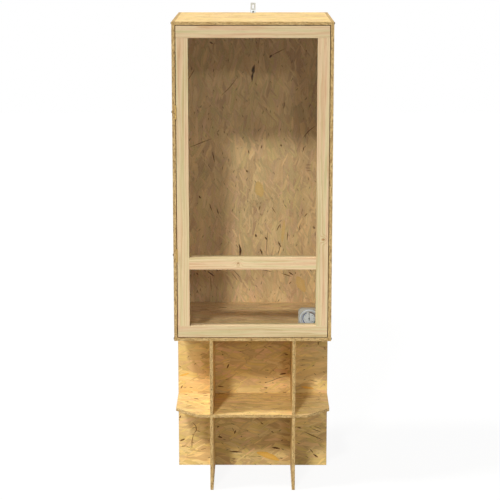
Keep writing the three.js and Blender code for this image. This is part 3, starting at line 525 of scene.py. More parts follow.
back_front = (Vector((0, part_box("back_panel")[0].y, 0)), AXES["x"], AXES["z"])
floor_top = (Vector((0, 0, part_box("bottom_panel")[1].z)), AXES["x"], AXES["y"])
roof_top = (Vector((0, 0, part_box("top_panel")[1].z)), AXES["x"], AXES["y"])
pale_golden_strand = golden_wood("pale_golden_strand", ["#c8a05c", "#dcb66c", "#e5bf78", "#ebc884"])
pressed_leaves("back_panel_bark", *back_front, [
    (15, (6, 1602), (0, 1578), (2, 1566)), (9, (1, 1576), (-3, 1556), (-4, 1532)),
    (6, (-176, 1694), (-162, 1686)), (2.6, (-131, 1475), (-96, 1508), (-62, 1553)),
    (3, (-237, 1583), (-264, 1540)), (3, (132, 1668), (100, 1652), (76, 1640)), (9, (78, 1642), (66, 1630)),
    (3.6, (202, 1300), (226, 1330), (254, 1352)), (3, (-264, 1262), (-215, 1282), (-168, 1300)),
    (5, (-166, 1246), (-158, 1203)), (4, (129, 1452), (125, 1422)), (5, (37, 1274), (33, 1258)),
    (7, (112, 1276), (119, 1268)), (5, (206, 1266), (207, 1250)), (7, (-28, 1171), (-22, 1160)),
    (5, (-19, 1253), (-16, 1237)), (2.5, (216, 1191), (240, 1192)), (2.5, (214, 1179), (238, 1178)),
    (2.5, (218, 1166), (240, 1168)), (7, (-223, 1063), (-216, 1051)), (4, (30, 1022), (26, 1003)),
    (3, (76, 1018), (94, 990)), (8, (10, 902), (14, 888)), (7, (50, 890), (58, 878)),
    (3, (60, 915), (58, 870), (55, 820)), (4, (112, 944), (98, 916)), (6, (104, 872), (116, 846)),
    (3, (112, 850), (104, 812)), (6, (250, 934), (257, 924)), (3, (144, 914), (141, 872)),
    (10, (-58, 860), (-52, 834), (-55, 804)), (7, (28, 838), (36, 827), (38, 813)),
    (4, (20, 812), (40, 806)), (3, (-70, 860), (-60, 842)), (4, (-180, 1030), (-170, 1000)),
    (5, (-150, 1010), (-142, 985)), (3, (205, 1010), (200, 985)), (4, (225, 990), (212, 975)),
    (3, (195, 940), (190, 915)), (3, (40, 750), (80, 742)), (4, (120, 735), (160, 722)),
    (6, (-190, 745), (-160, 722)), (5, (-236, 738), (-228, 728)), (3, (-176, 725), (-174, 660)),
    (4, (150, 690), (160, 700)), (2.6, (-92, 742), (-60, 700)), (2.6, (-84, 752), (-50, 716)),
    (6, (148, 742), (168, 728)),
], pressed_bark, 8)
pressed_leaves("back_panel_gold", *back_front, [
    (38, (184, 722), (216, 656)), (40, (18, 1122), (34, 1058)), (13, (130, 962), (121, 866)),
], pale_golden_strand, 12)
pressed_leaves("bottom_panel_bark", *floor_top, [
    (10, (-142, 197), (-104, 193)), (5, (30, 240), (74, 246)), (6, (120, 130), (150, 122)),
    (4, (-220, 150), (-180, 156)), (5, (40, -20), (100, -12)), (5, (-60, -110), (0, -120)),
], pressed_bark, 9)
pressed_leaves("top_panel_bark", *roof_top, [
    (7, (-190, 120), (-160, 108)), (5, (-70, 30), (-40, 22)), (5, (20, 90), (50, 84)),
    (5, (130, 180), (175, 190)), (6, (170, -90), (205, -80)), (5, (-262, -150), (-236, -140)),
    (6, (-110, -200), (-70, -214)), (5, (60, -180), (100, -172)), (5, (230, 40), (262, 30)),
    (5, (-220, 220), (-190, 228)),
], pressed_bark, 11)

# ---- Screws ----
# Pan head chipboard screws with a cross recess, phosphated black: a matt grey-black skin. Nine go through
# each side panel into the edges of the boards behind it, one holds the wall bracket, and two longer ones,
# which are bolts with the same head, hold the hinges.

PAN_PROFILE = [  # from the crown to the seat, in shares of the head's radius and height
    (0.0, 1.0), (0.28, 0.985), (0.55, 0.92), (0.78, 0.78),
    (0.93, 0.56), (1.0, 0.3), (1.0, 0.05), (0.97, 0.0),
]
SCREW_SIDES = 40
SHANK_RADIUS = 2  # mm
RECESS_REACH = 0.56  # of the head's radius, from the middle to the end of a slot
RECESS_HALF = 0.13
RECESS_TAPER = 0.6  # width at the foot of the recess, where 1 is as wide as over the head
RECESS_FLOOR = 0.35  # of the head's height


def black_phosphate():
    """Phosphate skin on steel: fine dark crystals that hardly shine."""
    material, tree = new_material("black_phosphated_steel")
    place = add_node(tree, "TexCoord").outputs["Object"]
    crystal = add_node(tree, "TexNoise", {"Vector": place, "Scale": 1 / (0.55556 * MM), "Detail": 3})
    patch = add_node(tree, "TexNoise", {"Vector": place, "Scale": 1 / (2.85714 * MM), "Detail": 2})
    return finish_surface(material, crystal, 0.25, 0.05, {
        "Base Color": spread_ramp(tree, patch, ["#221f1d", "#302c29", "#423d39"]),
        "Roughness": add_node(tree, "MapRange", {"Value": crystal, "To Min": 0.5, "To Max": 0.7}),
        "Specular IOR Level": 0.2,
    })


screw_skin = black_phosphate()


def turned_shape(profile, sides):
    """bmesh turned about Z from (radius, height) points that begin and end on the axis."""
    shape = bmesh.new()
    rings = []
    for radius, height in profile:
        steps = sides if radius else 1
        turn = [2 * math.pi * k / sides for k in range(steps)]
        rings.append([shape.verts.new((radius * math.cos(a), radius * math.sin(a), height)) for a in turn])
    for ring, following in zip(rings, rings[1:]):
        for k in range(sides):
            corners = []
            for vertex in (ring[k % len(ring)], ring[(k + 1) % len(ring)],
                           following[(k + 1) % len(following)], following[k % len(following)]):
                if vertex not in corners:
                    corners.append(vertex)
            shape.faces.new(corners)
    bmesh.ops.recalc_face_normals(shape, faces=shape.faces)
    return shape


def evaluated_mesh(holder):
    """Mesh of the object as its modifiers leave it."""
    bpy.context.view_layer.update()
    return bpy.data.meshes.new_from_object(holder.evaluated_get(bpy.context.evaluated_depsgraph_get()))


def pan_screw(name, head_radius, head_height, shank_length):
    """Mesh of a screw along Z, with its head standing on height 0."""
    head = [(radius * head_radius, height * head_height) for radius, height in PAN_PROFILE]
    shank_radius = SHANK_RADIUS * MM
    shank = [(shank_radius, 0), (shank_radius, -shank_length + 2 * shank_radius), (0, -shank_length)]
    body = mesh_object(name, turned_shape(head + shank, SCREW_SIDES))
    cross = bmesh.new()
    for quarter in (0, math.pi / 2):
        arm = bmesh.ops.create_cube(cross, size=1)["verts"]
        for vertex in arm:
            taper = 1.0 if vertex.co.z > 0 else RECESS_TAPER
            vertex.co.x *= 2 * RECESS_REACH * head_radius * taper
            vertex.co.y *= 2 * RECESS_HALF * head_radius * taper
            vertex.co.z = head_height * (1.2 if vertex.co.z > 0 else RECESS_FLOOR)
        bmesh.ops.rotate(cross, verts=arm, matrix=Matrix.Rotation(quarter, 3, "Z"))
    bmesh.ops.recalc_face_normals(cross, faces=cross.faces)
    cutter = mesh_object(name + "_cutter", cross)
    recess = body.modifiers.new("recess", "BOOLEAN")
    recess.operation = "DIFFERENCE"
    recess.use_self = True
    recess.object = cutter
    screw = evaluated_mesh(body)
    bpy.data.objects.remove(body)
    bpy.data.objects.remove(cutter)
    screw.name = name
    screw.materials.append(screw_skin)
    screw.shade_smooth()
    screw.set_sharp_from_angle(angle=math.radians(40))
    return screw


def place_screw(node_name, mesh, seat, direction, turn):
    """Screw with its head on the seat, pointing out along the direction and turned about it."""
    screw = bpy.data.objects.new(node_name + "_pan", mesh)
    facing = direction.to_track_quat("Z", "Y").to_matrix().to_4x4()
    screw.matrix_world = Matrix.Translation(seat) @ facing @ Matrix.Rotation(turn, 4, "Z")
    bpy.context.scene.collection.objects.link(screw)
    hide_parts(node_name)
    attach(screw, "root")


panel_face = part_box("side_panel_right")[1].x
screw_low, screw_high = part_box("screw_right_top_front")
head_radius = (screw_high.y - screw_low.y) / 2
head_height = screw_high.x - panel_face
side_screw = pan_screw("side_screw", head_radius, head_height, screw_high.x - screw_low.x - head_height)
bolt_low, bolt_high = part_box("hinge_upper_bolt")
hinge_bolt = pan_screw("hinge_bolt", head_radius, head_height, bolt_high.x - bolt_low.x - head_height)
turns = random.Random(2)
for node_name in sorted(frame["nodes"]):
    if node_name.startswith("screw_") or node_name.endswith("_bolt"):
        low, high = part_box(node_name)
        side = math.copysign(1, low.x)
        seat = Vector((side * panel_face, (low.y + high.y) / 2, (low.z + high.z) / 2))
        mesh = hinge_bolt if node_name.endswith("_bolt") else side_screw
        place_screw(node_name, mesh, seat, Vector((side, 0, 0)), turns.uniform(0, math.pi))

# ---- Wall bracket ----
# Slotted angle of 2 mm steel strip, bent and zinc plated: pale bluish grey with a soft cloudy shine. One
# screw holds it on the top board, and its upright leg is flush with the back so that it can be screwed to
# a wall.

STRIP_THICKNESS = 2  # mm
BRACKET_SCREW_TURN = 0.3  # radians


def zinc_plate():
    """Bright zinc plating: cloudy grey patches over fine rolling lines."""
    material, tree = new_material("zinc_plated_steel")
    place = add_node(tree, "TexCoord").outputs["Object"]
    cloud = add_node(tree, "TexNoise", {"Vector": place, "Scale": 1 / (6.25 * MM), "Detail": 3})
    rolled = grain(tree, place, (0.33333, 5, 5), 2)
    return finish_surface(material, rolled, 0.15, 0.04, {
        "Base Color": spread_ramp(tree, cloud, ["#a4a9ab", "#bcc0c0", "#d0d3d0"]), "Metallic": 1.0,
        "Roughness": add_node(tree, "MapRange", {"Value": cloud, "To Min": 0.28, "To Max": 0.5}),
    })


def finish_node(node_name, material, ease):
    """Keeps a CAD node, eases its edges by ease millimetres and gives it a material."""
    node = frame["nodes"][node_name]
    node.data.materials.clear()
    node.data.materials.append(material)
    weld = node.modifiers.new("weld", "WELD")
    weld.merge_threshold = 0.002 * MM
    arris = node.modifiers.new("arris", "BEVEL")
    arris.width = ease * MM
    arris.segments = 2
    arris.limit_method = "ANGLE"
    arris.angle_limit = math.radians(38)


zinc = zinc_plate()
finish_node("wall_bracket", zinc, 0.3)
low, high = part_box("bracket_screw")
strip_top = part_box("top_panel")[1].z + STRIP_THICKNESS * MM
bracket_screw = pan_screw("wall_bracket_screw", (high.x - low.x) / 2, high.z - strip_top, strip_top - low.z)
seat = Vector((0, (low.y + high.y) / 2, strip_top))
place_screw("bracket_screw", bracket_screw, seat, AXES["z"], BRACKET_SCREW_TURN)

# ---- Side vents ----
# Slotted plates of 1.5 mm aluminium with a collar pushed through the board, satin anodised: an even pale
# grey with fine brushing along the plate.


def anodised_aluminium():
    """Brushed and anodised aluminium: fine lines along the plate that spread its shine."""
    material, tree = new_material("anodised_aluminium")
    place = add_node(tree, "TexCoord").outputs["Object"]
    brushed = grain(tree, place, (1.11111, 55.5556, 1.11111), 4)
    return finish_surface(material, brushed, 0.2, 0.05, {
        "Base Color": spread_ramp(tree, brushed, ["#b9bcbe", "#c9cbcc", "#d8d9d9"]), "Metallic": 1.0,
        "Roughness": add_node(tree, "MapRange", {"Value": brushed, "To Min": 0.3, "To Max": 0.48}),
    })


aluminium = anodised_aluminium()
finish_node("vent_low", aluminium, 0.35)
finish_node("vent_high", aluminium, 0.35)

# ---- Door frame ----
# Five members of planed pine, 45 mm square, grooved for the glass and tenoned together: the rails run the
# full width at the top and bottom. The planed faces are bare, pale and silky, and the growth rings run
# along them.

RING_WIDTH = 5.5  # mm from one winter's wood to the next, on average
RING_SWAY = 16  # mm that the rings wander along a member
RING_BEND = 13  # mm that the rings give way beside the knot
KNOT_REACH = 13  # mm from the knot over which they do
PINE_TONES = ["#cea481", "#d8b48d", "#dec299", "#d9c598", "#c9ba89", "#d8bb8d"]
PINE_FIBRE = (71.4286, 1.66667, 1.66667)  # mm along and across the member, coarser than real
RESIN_LINE = (25, 1.42857, 1.42857)  # mm, coarser than real


def planed_pine():
    """Planed pine: growth rings about the heart of the log, which lies on the x axis of the log
    attribute, pink and green streaks along the grain, short resin lines, and a knot where the knot
    attribute is 0."""
    material, tree = new_material("planed_pine")
    place = add_node(tree, "Attribute", attribute_name="log").outputs["Vector"]
    section = add_node(tree, "VectorMath", {0: place, 1: (0, 1, 1)}, operation="MULTIPLY")
    radius = add_node(tree, "VectorMath", {0: section}, operation="LENGTH").outputs["Value"]
    sway = grain(tree, place, (416.667, 29.4118, 29.4118), 3)
    radius = add_node(tree, "Math", {0: sway, 1: RING_SWAY * MM, 2: radius}, operation="MULTIPLY_ADD")
    knot_at = add_node(tree, "Attribute", attribute_name="knot").outputs["Vector"]
    knot_far = add_node(tree, "VectorMath", {0: knot_at}, operation="LENGTH").outputs["Value"]
    knot_far = add_node(tree, "Math", {0: knot_far, 1: KNOT_REACH * MM}, operation="DIVIDE")
    fall = add_node(tree, "Math", {0: knot_far, 1: knot_far}, operation="MULTIPLY")
    fall = add_node(tree, "Math", {0: fall, 1: -1}, operation="MULTIPLY")
    by_knot = add_node(tree, "Math", {0: fall}, operation="EXPONENT")
    radius = add_node(tree, "Math", {0: by_knot, 1: RING_BEND * MM, 2: radius}, operation="MULTIPLY_ADD")
    rings = add_node(tree, "Math", {0: radius, 1: RING_WIDTH * MM}, operation="DIVIDE")
    year = add_node(tree, "Math", {0: rings}, operation="FRACT")
    winter = add_node(tree, "MapRange", {
        "Value": year, "From Min": 0.35, "From Max": 0.9,
    }, interpolation_type="SMOOTHSTEP")
    spring = add_node(tree, "MapRange", {
        "Value": year, "From Min": 1.0, "From Max": 0.9,
    }, interpolation_type="SMOOTHSTEP")
    winter = add_node(tree, "Math", {0: winter, 1: spring}, operation="MULTIPLY")
    strong = add_node(tree, "MapRange", {
        "Value": grain(tree, place, (200, 16.6667, 16.6667), 2),
        "From Min": 0.35, "From Max": 0.65, "To Min": 0.1, "To Max": 0.5,
    })
    strong = add_node(tree, "Math", {0: by_knot, 1: 0.5, 2: strong}, operation="MULTIPLY_ADD")
    winter_share = add_node(tree, "Math", {0: winter, 1: strong}, operation="MULTIPLY")

    streak = grain(tree, place, (333.333, 14.2857, 14.2857), 3)
    streak = add_node(tree, "MapRange", {"Value": streak, "From Min": 0.25, "From Max": 0.75})
    base = spread_ramp(tree, streak, PINE_TONES)
    colour = add_node(tree, "MixRGB", {"Fac": winter_share, "Color1": base, "Color2": linear("#b78a58")})
    resin = add_node(tree, "MapRange", {
        "Value": grain(tree, place, RESIN_LINE, 1), "From Min": 0.66, "From Max": 0.76, "To Max": 0.4,
    })
    colour = add_node(tree, "MixRGB", {"Fac": resin, "Color1": colour, "Color2": linear("#966d40")})
    knot_core = add_node(tree, "MapRange", {
        "Value": knot_far, "From Min": 0.5, "From Max": 0.2, "To Max": 0.6,
    }, interpolation_type="SMOOTHSTEP")
    colour = add_node(tree, "MixRGB", {"Fac": knot_core, "Color1": colour, "Color2": linear("#9d6f42")})
    fibre = grain(tree, place, PINE_FIBRE, 4)
    light = add_node(tree, "MapRange", {
        "Value": fibre, "From Min": 0.3, "From Max": 0.7, "To Min": 0.93, "To Max": 1.05,
    })
    tone = add_node(tree, "Attribute", attribute_name="tone").outputs["Fac"]
    for factor in (light, tone):
        colour = add_node(tree, "VectorMath", {0: colour, "Scale": factor}, operation="SCALE")
    height = add_node(tree, "Math", {0: winter, 1: 0.6, 2: fibre}, operation="MULTIPLY_ADD")
    return finish_surface(material, height, 0.3, 0.1, {
        "Base Color": colour, "IOR": 1.5, "Specular IOR Level": 0.25,
        "Roughness": add_node(tree, "MapRange", {"Value": winter, "To Min": 0.6, "To Max": 0.46}),
    })


pine = planed_pine()
PINE_ARRIS = 1.1  # mm, sanded round
LOG_STEP = 2.7  # m along the log from where one member is sawn to the next


def make_member(number, node_name, grain_axis, heart, tone, knot=None):
    """Pine member. The number says how far up the log it was sawn, heart is where the middle of the log
    lies from the middle of the member, in mm along the two axes across the grain, tone scales the colour
    at its two ends, the lower or left end first, and knot is where a knot comes through the front, in mm
    from the middle of the member."""
    low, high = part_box(node_name)
    middle = (low + high) / 2
    along = AXES[grain_axis]
    sideways = AXES["x" if grain_axis == "z" else "z"]
    half_length = (high - middle).dot(along)
    mesh = dressed(node_name, "_pine", "planed_pine", welded_copy(node_name, PINE_ARRIS, 3), pine).data
    for name, kind in (("log", "FLOAT_VECTOR"), ("knot", "FLOAT_VECTOR"), ("tone", "FLOAT")):
        mesh.attributes.new(name, kind, "POINT")
    log, knots, tones = (mesh.attributes[name].data for name in ("log", "knot", "tone"))
    for vertex in mesh.vertices:
        place = vertex.co - middle
        run = place.dot(along)
        rise = place.dot(sideways)
        log[vertex.index].vector = (run + LOG_STEP * number, rise - heart[0] * MM, place.y - heart[1] * MM)
        far = Vector((1, 0, 0))
        if knot:
            far = Vector((run - knot[0] * MM, rise - knot[1] * MM, 0))
        knots[vertex.index].vector = far
        share = 0.5 + run / half_length / 2
        tones[vertex.index].value = tone[0] * (1 - share) + tone[1] * share


# The tones leave the stiles darker towards the top, the top rail darker and the middle rail lighter.
make_member(83, "door_stile_left", "z", (-34, 46), (1.06, 0.93))
make_member(84, "door_stile_right", "z", (28, 58), (1.03, 0.96), (-210, 6))
make_member(85, "door_rail_top", "x", (22, 52), (0.94, 0.92))
make_member(86, "door_rail_bottom", "x", (-30, 60), (0.98, 1.0))
make_member(87, "door_rail_middle", "x", (40, 44), (1.09, 1.07), (-55, 2))

# ---- Glass ----
# Two panes of 3 mm float glass, let into the grooves of the frame. Clear, with a faint green cast and a
# few wiping marks that only show where it mirrors.

GLASS_LEAST = 0.035  # share that each face throws back from straight ahead
GLASS_MIRROR = "#7f8a84"  # what it mirrors comes back this dim, as the room that it faces is dark


def float_glass():
    """Float glass: see-through from the front, and more of a mirror the flatter it is seen or lit."""
    material, tree = new_material("float_glass")
    place = add_node(tree, "TexCoord").outputs["Object"]
    roughness = add_node(tree, "MapRange", {
        "Value": grain(tree, place, (71.4286, 71.4286, 333.333), 4),
        "From Min": 0.45, "From Max": 0.75, "To Min": 0.02, "To Max": 0.08,
    })
    flat_on = add_node(tree, "LayerWeight", {"Blend": 0.5}).outputs["Facing"]
    flat_on = add_node(tree, "Math", {0: flat_on, 1: 5.0}, operation="POWER")
    share = add_node(tree, "MapRange", {"Value": flat_on, "To Min": GLASS_LEAST, "To Max": 1.0})
    mirror = add_node(tree, "BsdfPrincipled", {
        "Base Color": linear(GLASS_MIRROR), "Metallic": 1.0, "Roughness": roughness,
    })
    clear = add_node(tree, "BsdfTransparent", {"Color": linear("#fcfdfc")})
    pane = add_node(tree, "MixShader", {0: share, 1: clear, 2: mirror})
    add_node(tree, "OutputMaterial", {"Surface": pane})
    return material


glass = float_glass()
finish_node("glass_lower", glass, 0.3)
finish_node("glass_upper", glass, 0.3)

# ---- Hinges ----
# Two butt hinges of 1.2 mm steel with rolled knuckles, brass plated: warm yellow and a little dull. The
# frame leaf is bolted to the side panel and the door leaf is screwed to the stile.


def brass_plate():
    """Brass plating under a clear lacquer: warm, with fine rubbing marks and faint tarnish."""
    material, tree = new_material("brass_plated_steel")
    place = add_node(tree, "TexCoord").outputs["Object"]
    tarnish = add_node(tree, "TexNoise", {"Vector": place, "Scale": 1 / (9.09091 * MM), "Detail": 4})
    rubbed = grain(tree, place, (2.5, 2.5, 0.384615), 2)
    return finish_surface(material, rubbed, 0.15, 0.04, {
        "Base Color": spread_ramp(tree, tarnish, ["#a98746", "#c4a35c", "#d8bc78"]), "Metallic": 1.0,
        "Roughness": add_node(tree, "MapRange", {"Value": tarnish, "To Min": 0.5, "To Max": 0.3}),
        "Coat Weight": 0.3, "Coat Roughness": 0.15,
    })


brass = brass_plate()
HINGE_EASES = {"frame_leaf": 0.2, "door_leaf": 0.2, "pin": 0.15, "screw_low": 0.1, "screw_high": 0.1}  # mm
for level in ("lower", "upper"):
    for part, ease in HINGE_EASES.items():
        finish_node(f"hinge_{level}_{part}", brass, ease)

# ---- Magnetic catch ----
# A brown-black moulded nylon case on the right side panel, with a thin zinc plated strike on the back of
# the stile that its magnet holds.


def moulded_nylon():
    """Moulded nylon: fine spark texture of the mould, dull sheen."""
    material, tree = new_material("moulded_nylon")
    place = add_node(tree, "TexCoord").outputs["Object"]
    spark = add_node(tree, "TexNoise", {"Vector": place, "Scale": 1 / (0.66667 * MM), "Detail": 2})
    cloud = add_node(tree, "TexNoise", {"Vector": place, "Scale": 1 / (11.1111 * MM), "Detail": 2})
    return finish_surface(material, spark, 0.3, 0.06, {
        "Base Color": spread_ramp(tree, cloud, ["#2f2b27", "#3b3632", "#464039"]), "IOR": 1.53,
        "Roughness": add_node(tree, "MapRange", {"Value": spark, "To Min": 0.42, "To Max": 0.62}),
    })


nylon = moulded_nylon()
finish_node("catch_body", nylon, 0.6)
finish_node("catch_strike", zinc, 0.2)

# ---- Thermometer ----
# Small dial thermometer that stands on the cabinet floor: a moulded ABS case with a round bezel and a
# dark ring of painted shade at its foot, a printed card behind a clear disc, and a thin pointer on an
# arbor.

dial_low, dial_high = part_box("thermometer_dial")
dial_middle = (dial_low + dial_high) / 2


def moulded_abs(name, tones):
    """Moulded ABS: pale, faintly mottled, with a fine satin texture."""
    material, tree = new_material(name)
    place = add_node(tree, "TexCoord").outputs["Object"]
    satin = add_node(tree, "TexNoise", {"Vector": place, "Scale": 1 / (0.769231 * MM), "Detail": 2})
    cloud = add_node(tree, "TexNoise", {"Vector": place, "Scale": 1 / (16.6667 * MM), "Detail": 2})
    return finish_surface(material, satin, 0.2, 0.05, {
        "Base Color": spread_ramp(tree, cloud, tones), "IOR": 1.54,
        "Roughness": add_node(tree, "MapRange", {"Value": satin, "To Min": 0.36, "To Max": 0.52}),
    })


DIAL_BANDS = [  # first and last angle in degrees from +X, anticlockwise, and colour
    (112, 232, "#6f72a6"),
    (2, 92, "#7d4a44"),
    (-46, -8, "#4f8459"),
]
BAND_RADII = (23.5, 26.5)  # mm from the arbor
TICK_RADII = (20.5, 23.0)
RING_RADII = (23.0, 23.4)
TICK_STEP = 5  # degrees
TICK_SHARE = 0.16  # of a step that a tick fills
SCALE_START = -46  # degrees
SCALE_END = 232
NUMBER_COUNT = 7
NUMBER_STEP = 10
NUMBER_RADIUS = 17.2  # mm from the arbor
NUMBER_HEIGHT = 4.6
INK_THICKNESS = 0.04


def between(tree, value, limits):
    """1 where the value lies between the two limits, 0 elsewhere."""
    above = add_node(tree, "Math", {0: value, 1: limits[0]}, operation="GREATER_THAN")
    below = add_node(tree, "Math", {0: value, 1: limits[1]}, operation="LESS_THAN")
    return add_node(tree, "Math", {0: above, 1: below}, operation="MULTIPLY")


def printed_card():
    """Printed card: matt white stock with coloured bands, a ring and tick marks."""
    material, tree = new_material("printed_card")
    place = add_node(tree, "TexCoord").outputs["Object"]
    centred = add_node(tree, "VectorMath", {0: place, 1: dial_middle}, operation="SUBTRACT")
    axes = add_node(tree, "SeparateXYZ", {"Vector": centred}).outputs
    flat = add_node(tree, "CombineXYZ", {"X": axes["X"], "Y": axes["Z"]})
    radius = add_node(tree, "VectorMath", {0: flat}, operation="LENGTH").outputs["Value"]
    radius = add_node(tree, "Math", {0: radius, 1: MM}, operation="DIVIDE")
    angle = add_node(tree, "Math", {0: axes["Z"], 1: axes["X"]}, operation="ARCTAN2")
    angle = add_node(tree, "Math", {0: angle}, operation="DEGREES")
    behind = add_node(tree, "Math", {0: angle, 1: -90.0}, operation="LESS_THAN")
    angle = add_node(tree, "Math", {0: behind, 1: 360.0, 2: angle}, operation="MULTIPLY_ADD")
    fibre = add_node(tree, "TexNoise", {"Vector": place, "Scale": 1 / (1.42857 * MM), "Detail": 3})
    colour = spread_ramp(tree, fibre, ["#f1ecf3", "#f7f3f9", "#fcf9fd"])
    band = between(tree, radius, BAND_RADII)
    for start, end, ink in DIAL_BANDS:
        reached = between(tree, angle, (start, end))
        inked = add_node(tree, "Math", {0: band, 1: reached}, operation="MULTIPLY")
        colour = add_node(tree, "MixRGB", {"Fac": inked, "Color1": colour, "Color2": linear(ink)})
    step = add_node(tree, "Math", {0: angle, 1: float(TICK_STEP)}, operation="DIVIDE")
    step = add_node(tree, "Math", {0: step}, operation="FRACT")
    tick = add_node(tree, "Math", {0: step, 1: TICK_SHARE}, operation="LESS_THAN")
    for within in (between(tree, radius, TICK_RADII), between(tree, angle, (SCALE_START, SCALE_END))):
        tick = add_node(tree, "Math", {0: tick, 1: within}, operation="MULTIPLY")
    ink = add_node(tree, "Math", {0: tick, 1: between(tree, radius, RING_RADII)}, operation="MAXIMUM")
    colour = add_node(tree, "MixRGB", {"Fac": ink, "Color1": colour, "Color2": linear("#45444a")})
    return finish_surface(material, fibre, 0.1, 0.03, {
        "Base Color": colour, "Roughness": 0.7, "Specular IOR Level": 0.3,
    })


def printing_ink():
    """Black ink, a little thin where the card's fibres stand up through it."""
    material, tree = new_material("printing_ink")
    place = add_node(tree, "TexCoord").outputs["Object"]
    thin = add_node(tree, "TexNoise", {"Vector": place, "Scale": 1 / (1.11111 * MM), "Detail": 3})
    return finish_surface(material, thin, 0.1, 0.02, {
        "Base Color": spread_ramp(tree, thin, ["#39383d", "#45444a", "#5a595f"]),
        "Roughness": add_node(tree, "MapRange", {"Value": thin, "To Min": 0.5, "To Max": 0.75}),
    })


finish_node("thermometer_housing", moulded_abs("moulded_abs_grey", ["#b3aa9b", "#bbb2a4", "#c4bbae"]), 1.0)
finish_node("thermometer_bezel", moulded_abs("moulded_abs_pale", ["#cfd1d8", "#d6d8de", "#dddfe4"]), 0.3)
finish_node("thermometer_dial", printed_card(), 0.1)
finish_node("thermometer_lens", glass, 0.2)
finish_node("thermometer_needle", nylon, 0.08)

numbers = bmesh.new()
for i in range(NUMBER_COUNT):
    written = bpy.data.curves.new("dial_number", "FONT")
    written.body = str(NUMBER_STEP * i)
    written.size = NUMBER_HEIGHT * MM
    written.extrude = INK_THICKNESS * MM
    written.align_x = "CENTER"
    written.align_y = "CENTER"
    holder = bpy.data.objects.new("dial_number", written)
    bpy.context.scene.collection.objects.link(holder)
    number = evaluated_mesh(holder)
    turn = math.radians(SCALE_END + (SCALE_START - SCALE_END) * i / (NUMBER_COUNT - 1))
    outward = Vector((math.cos(turn), 0, math.sin(turn))) * NUMBER_RADIUS * MM
    seat = Vector((dial_middle.x, dial_low.y, dial_middle.z)) + outward
    number.transform(Matrix.Translation(seat) @ Matrix.Rotation(math.pi / 2, 4, "X"))
    numbers.from_mesh(number)
    bmesh.ops.remove_doubles(numbers, verts=numbers.verts, dist=0.001 * MM)
    bpy.data.objects.remove(holder)
    bpy.data.curves.remove(written)
    bpy.data.meshes.remove(number)
bmesh.ops.recalc_face_normals(numbers, faces=numbers.faces)
dial_numbers = mesh_object("dial_numbers", numbers, printing_ink())
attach(dial_numbers, "root")

SHADE_RING_RADIUS = 0.6  # mm, of the thin dark ring round the foot of the bezel, which is painted shade where the bezel stands on the case
SHADE_RING_SIDES = 10
SHADE_RING_STEPS = 64
bezel_low, bezel_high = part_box("thermometer_bezel")
bezel_radius = (bezel_high.x - bezel_low.x) / 2
# Painted shade: a thin dark ring laid round the foot of the bezel, where it stands on the case.
shade_ring = bmesh.new()
rings = []
for k in range(SHADE_RING_STEPS):
    turn = 2 * math.pi * k / SHADE_RING_STEPS
    ring = []
    for j in range(SHADE_RING_SIDES):
        round_ring = 2 * math.pi * j / SHADE_RING_SIDES
        reach = bezel_radius - SHADE_RING_RADIUS * MM * math.sin(round_ring)
        depth = bezel_high.y + SHADE_RING_RADIUS * MM * math.cos(round_ring)
        across, up = reach * math.cos(turn), reach * math.sin(turn)
        ring.append(shade_ring.verts.new((dial_middle.x + across, depth, dial_middle.z + up)))
    rings.append(ring)
for ring, following in zip(rings, rings[1:] + rings[:1]):
    for j in range(SHADE_RING_SIDES):
        beside = (j + 1) % SHADE_RING_SIDES
        shade_ring.faces.new((ring[j], following[j], following[beside], ring[beside]))
bmesh.ops.recalc_face_normals(shade_ring, faces=shade_ring.faces)
bezel_shade_ring = mesh_object("bezel_shade_ring", shade_ring, nylon)
bezel_shade_ring.data.shade_smooth()
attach(bezel_shade_ring, "root")

# ---- Light, floor and camera ----
# A flat pale floor under an even white sky, with a large soft lamp high on the left, a second one in
# front and a small low one. The camera stands 6.3 m in front of the object's middle and looks a little
# down.

FLOOR_HALF = 12.0  # m
FLOOR_DROP = 0.5  # mm under the feet, so that the two faces don't fight
FLOOR_GLOW = 1.13  # makes up for the shadow's share, so that the clear floor shows white
GLOW_SHARE = 0.8  # of what shows, and the rest is the lit floor
SKY_LIGHT = 0.36  # what the sky gives as light, where 1 is the white that shows


def seen_itself(tree):
    """1 for a ray that shows a thing to the camera, straight or by way of metal or glass, and 0 for
    light."""
    path = add_node(tree, "LightPath").outputs
    seen = add_node(tree, "Math", {0: path["Is Camera Ray"], 1: path["Is Glossy Ray"]}, operation="MAXIMUM")
    return add_node(tree, "Math", {0: seen, 1: path["Is Transmission Ray"]}, operation="MAXIMUM")


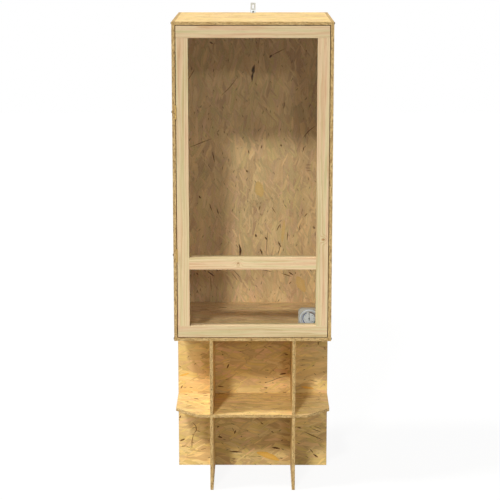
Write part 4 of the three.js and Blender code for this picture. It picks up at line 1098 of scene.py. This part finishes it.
def pale_floor():
    """Matt pale floor. To the camera it is nearly as white as the sky and keeps a weak shadow of the
    object."""
    material, tree = new_material("pale_floor")
    grit = add_node(tree, "TexNoise", {"Scale": 1 / (1.11111 * MM), "Detail": 2})
    relief = add_node(tree, "Bump", {"Strength": 0.05, "Distance": 0.2 * MM, "Height": grit})
    matt = add_node(tree, "BsdfPrincipled", {
        "Base Color": linear("#b4b4b2"), "Roughness": 0.9, "Normal": relief, "Specular IOR Level": 0.1,
    })
    white = add_node(tree, "Emission", {"Color": (1, 1, 1, 1), "Strength": FLOOR_GLOW})
    share = add_node(tree, "Math", {0: seen_itself(tree), 1: GLOW_SHARE}, operation="MULTIPLY")
    shown = add_node(tree, "MixShader", {0: share, 1: matt, 2: white})
    add_node(tree, "OutputMaterial", {"Surface": shown})
    return material


floor = bmesh.new()
bmesh.ops.create_grid(floor, x_segments=4, y_segments=4, size=FLOOR_HALF)
studio_floor = mesh_object("studio_floor", floor, pale_floor())
studio_floor.location.z = -FLOOR_DROP * MM

world = bpy.data.worlds.new("studio_sky")
world.use_nodes = True
world.node_tree.nodes.clear()
tree = world.node_tree
strength = add_node(tree, "MapRange", {"Value": seen_itself(tree), "To Min": SKY_LIGHT, "To Max": 1.0})
sky = add_node(tree, "Background", {"Color": (1, 1, 1, 1), "Strength": strength})
add_node(tree, "OutputWorld", {"Surface": sky})
bpy.context.scene.world = world


def add_lamp(name, towards, share, softness):
    """Distant lamp. towards points from the object to the lamp, share is its light on a face square to
    it, where 1 renders a colour as written, and softness is the lamp's width in degrees."""
    lamp = bpy.data.lights.new(name, "SUN")
    lamp.energy = share * math.pi
    lamp.angle = math.radians(softness)
    placed = bpy.data.objects.new(name, lamp)
    placed.rotation_euler = Vector(towards).to_track_quat("Z", "Y").to_euler()
    bpy.context.scene.collection.objects.link(placed)


add_lamp("front_lamp", (-0.25, -1.0, 0.796), 0.52, 6)
add_lamp("left_lamp", (-1.0, -0.3, 1.8), 0.66, 10)
add_lamp("low_lamp", (0.12, -1.0, 0.313), 0.09, 4)

CAMERA_PLACE = (0.0118, -6.3, 2.1916)  # m, fitted to the photograph's measured points, as the angles are
CAMERA_TILT = 0.20316  # radians down from level
CAMERA_PAN = 0.00366  # radians to the left
LENS_PIXELS = 1620.3  # focal length, in the frame's pixels
FRAME = 500  # pixels
SENSOR = 36.0  # mm
lens = bpy.data.cameras.new("camera")
lens.sensor_width = SENSOR
lens.lens = LENS_PIXELS / FRAME * SENSOR
camera = bpy.data.objects.new("camera", lens)
camera.location = CAMERA_PLACE
camera.rotation_euler = (math.pi / 2 - CAMERA_TILT, 0, CAMERA_PAN)
bpy.context.scene.collection.objects.link(camera)
bpy.context.scene.camera = camera
bpy.context.scene.view_settings.view_transform = "Standard"
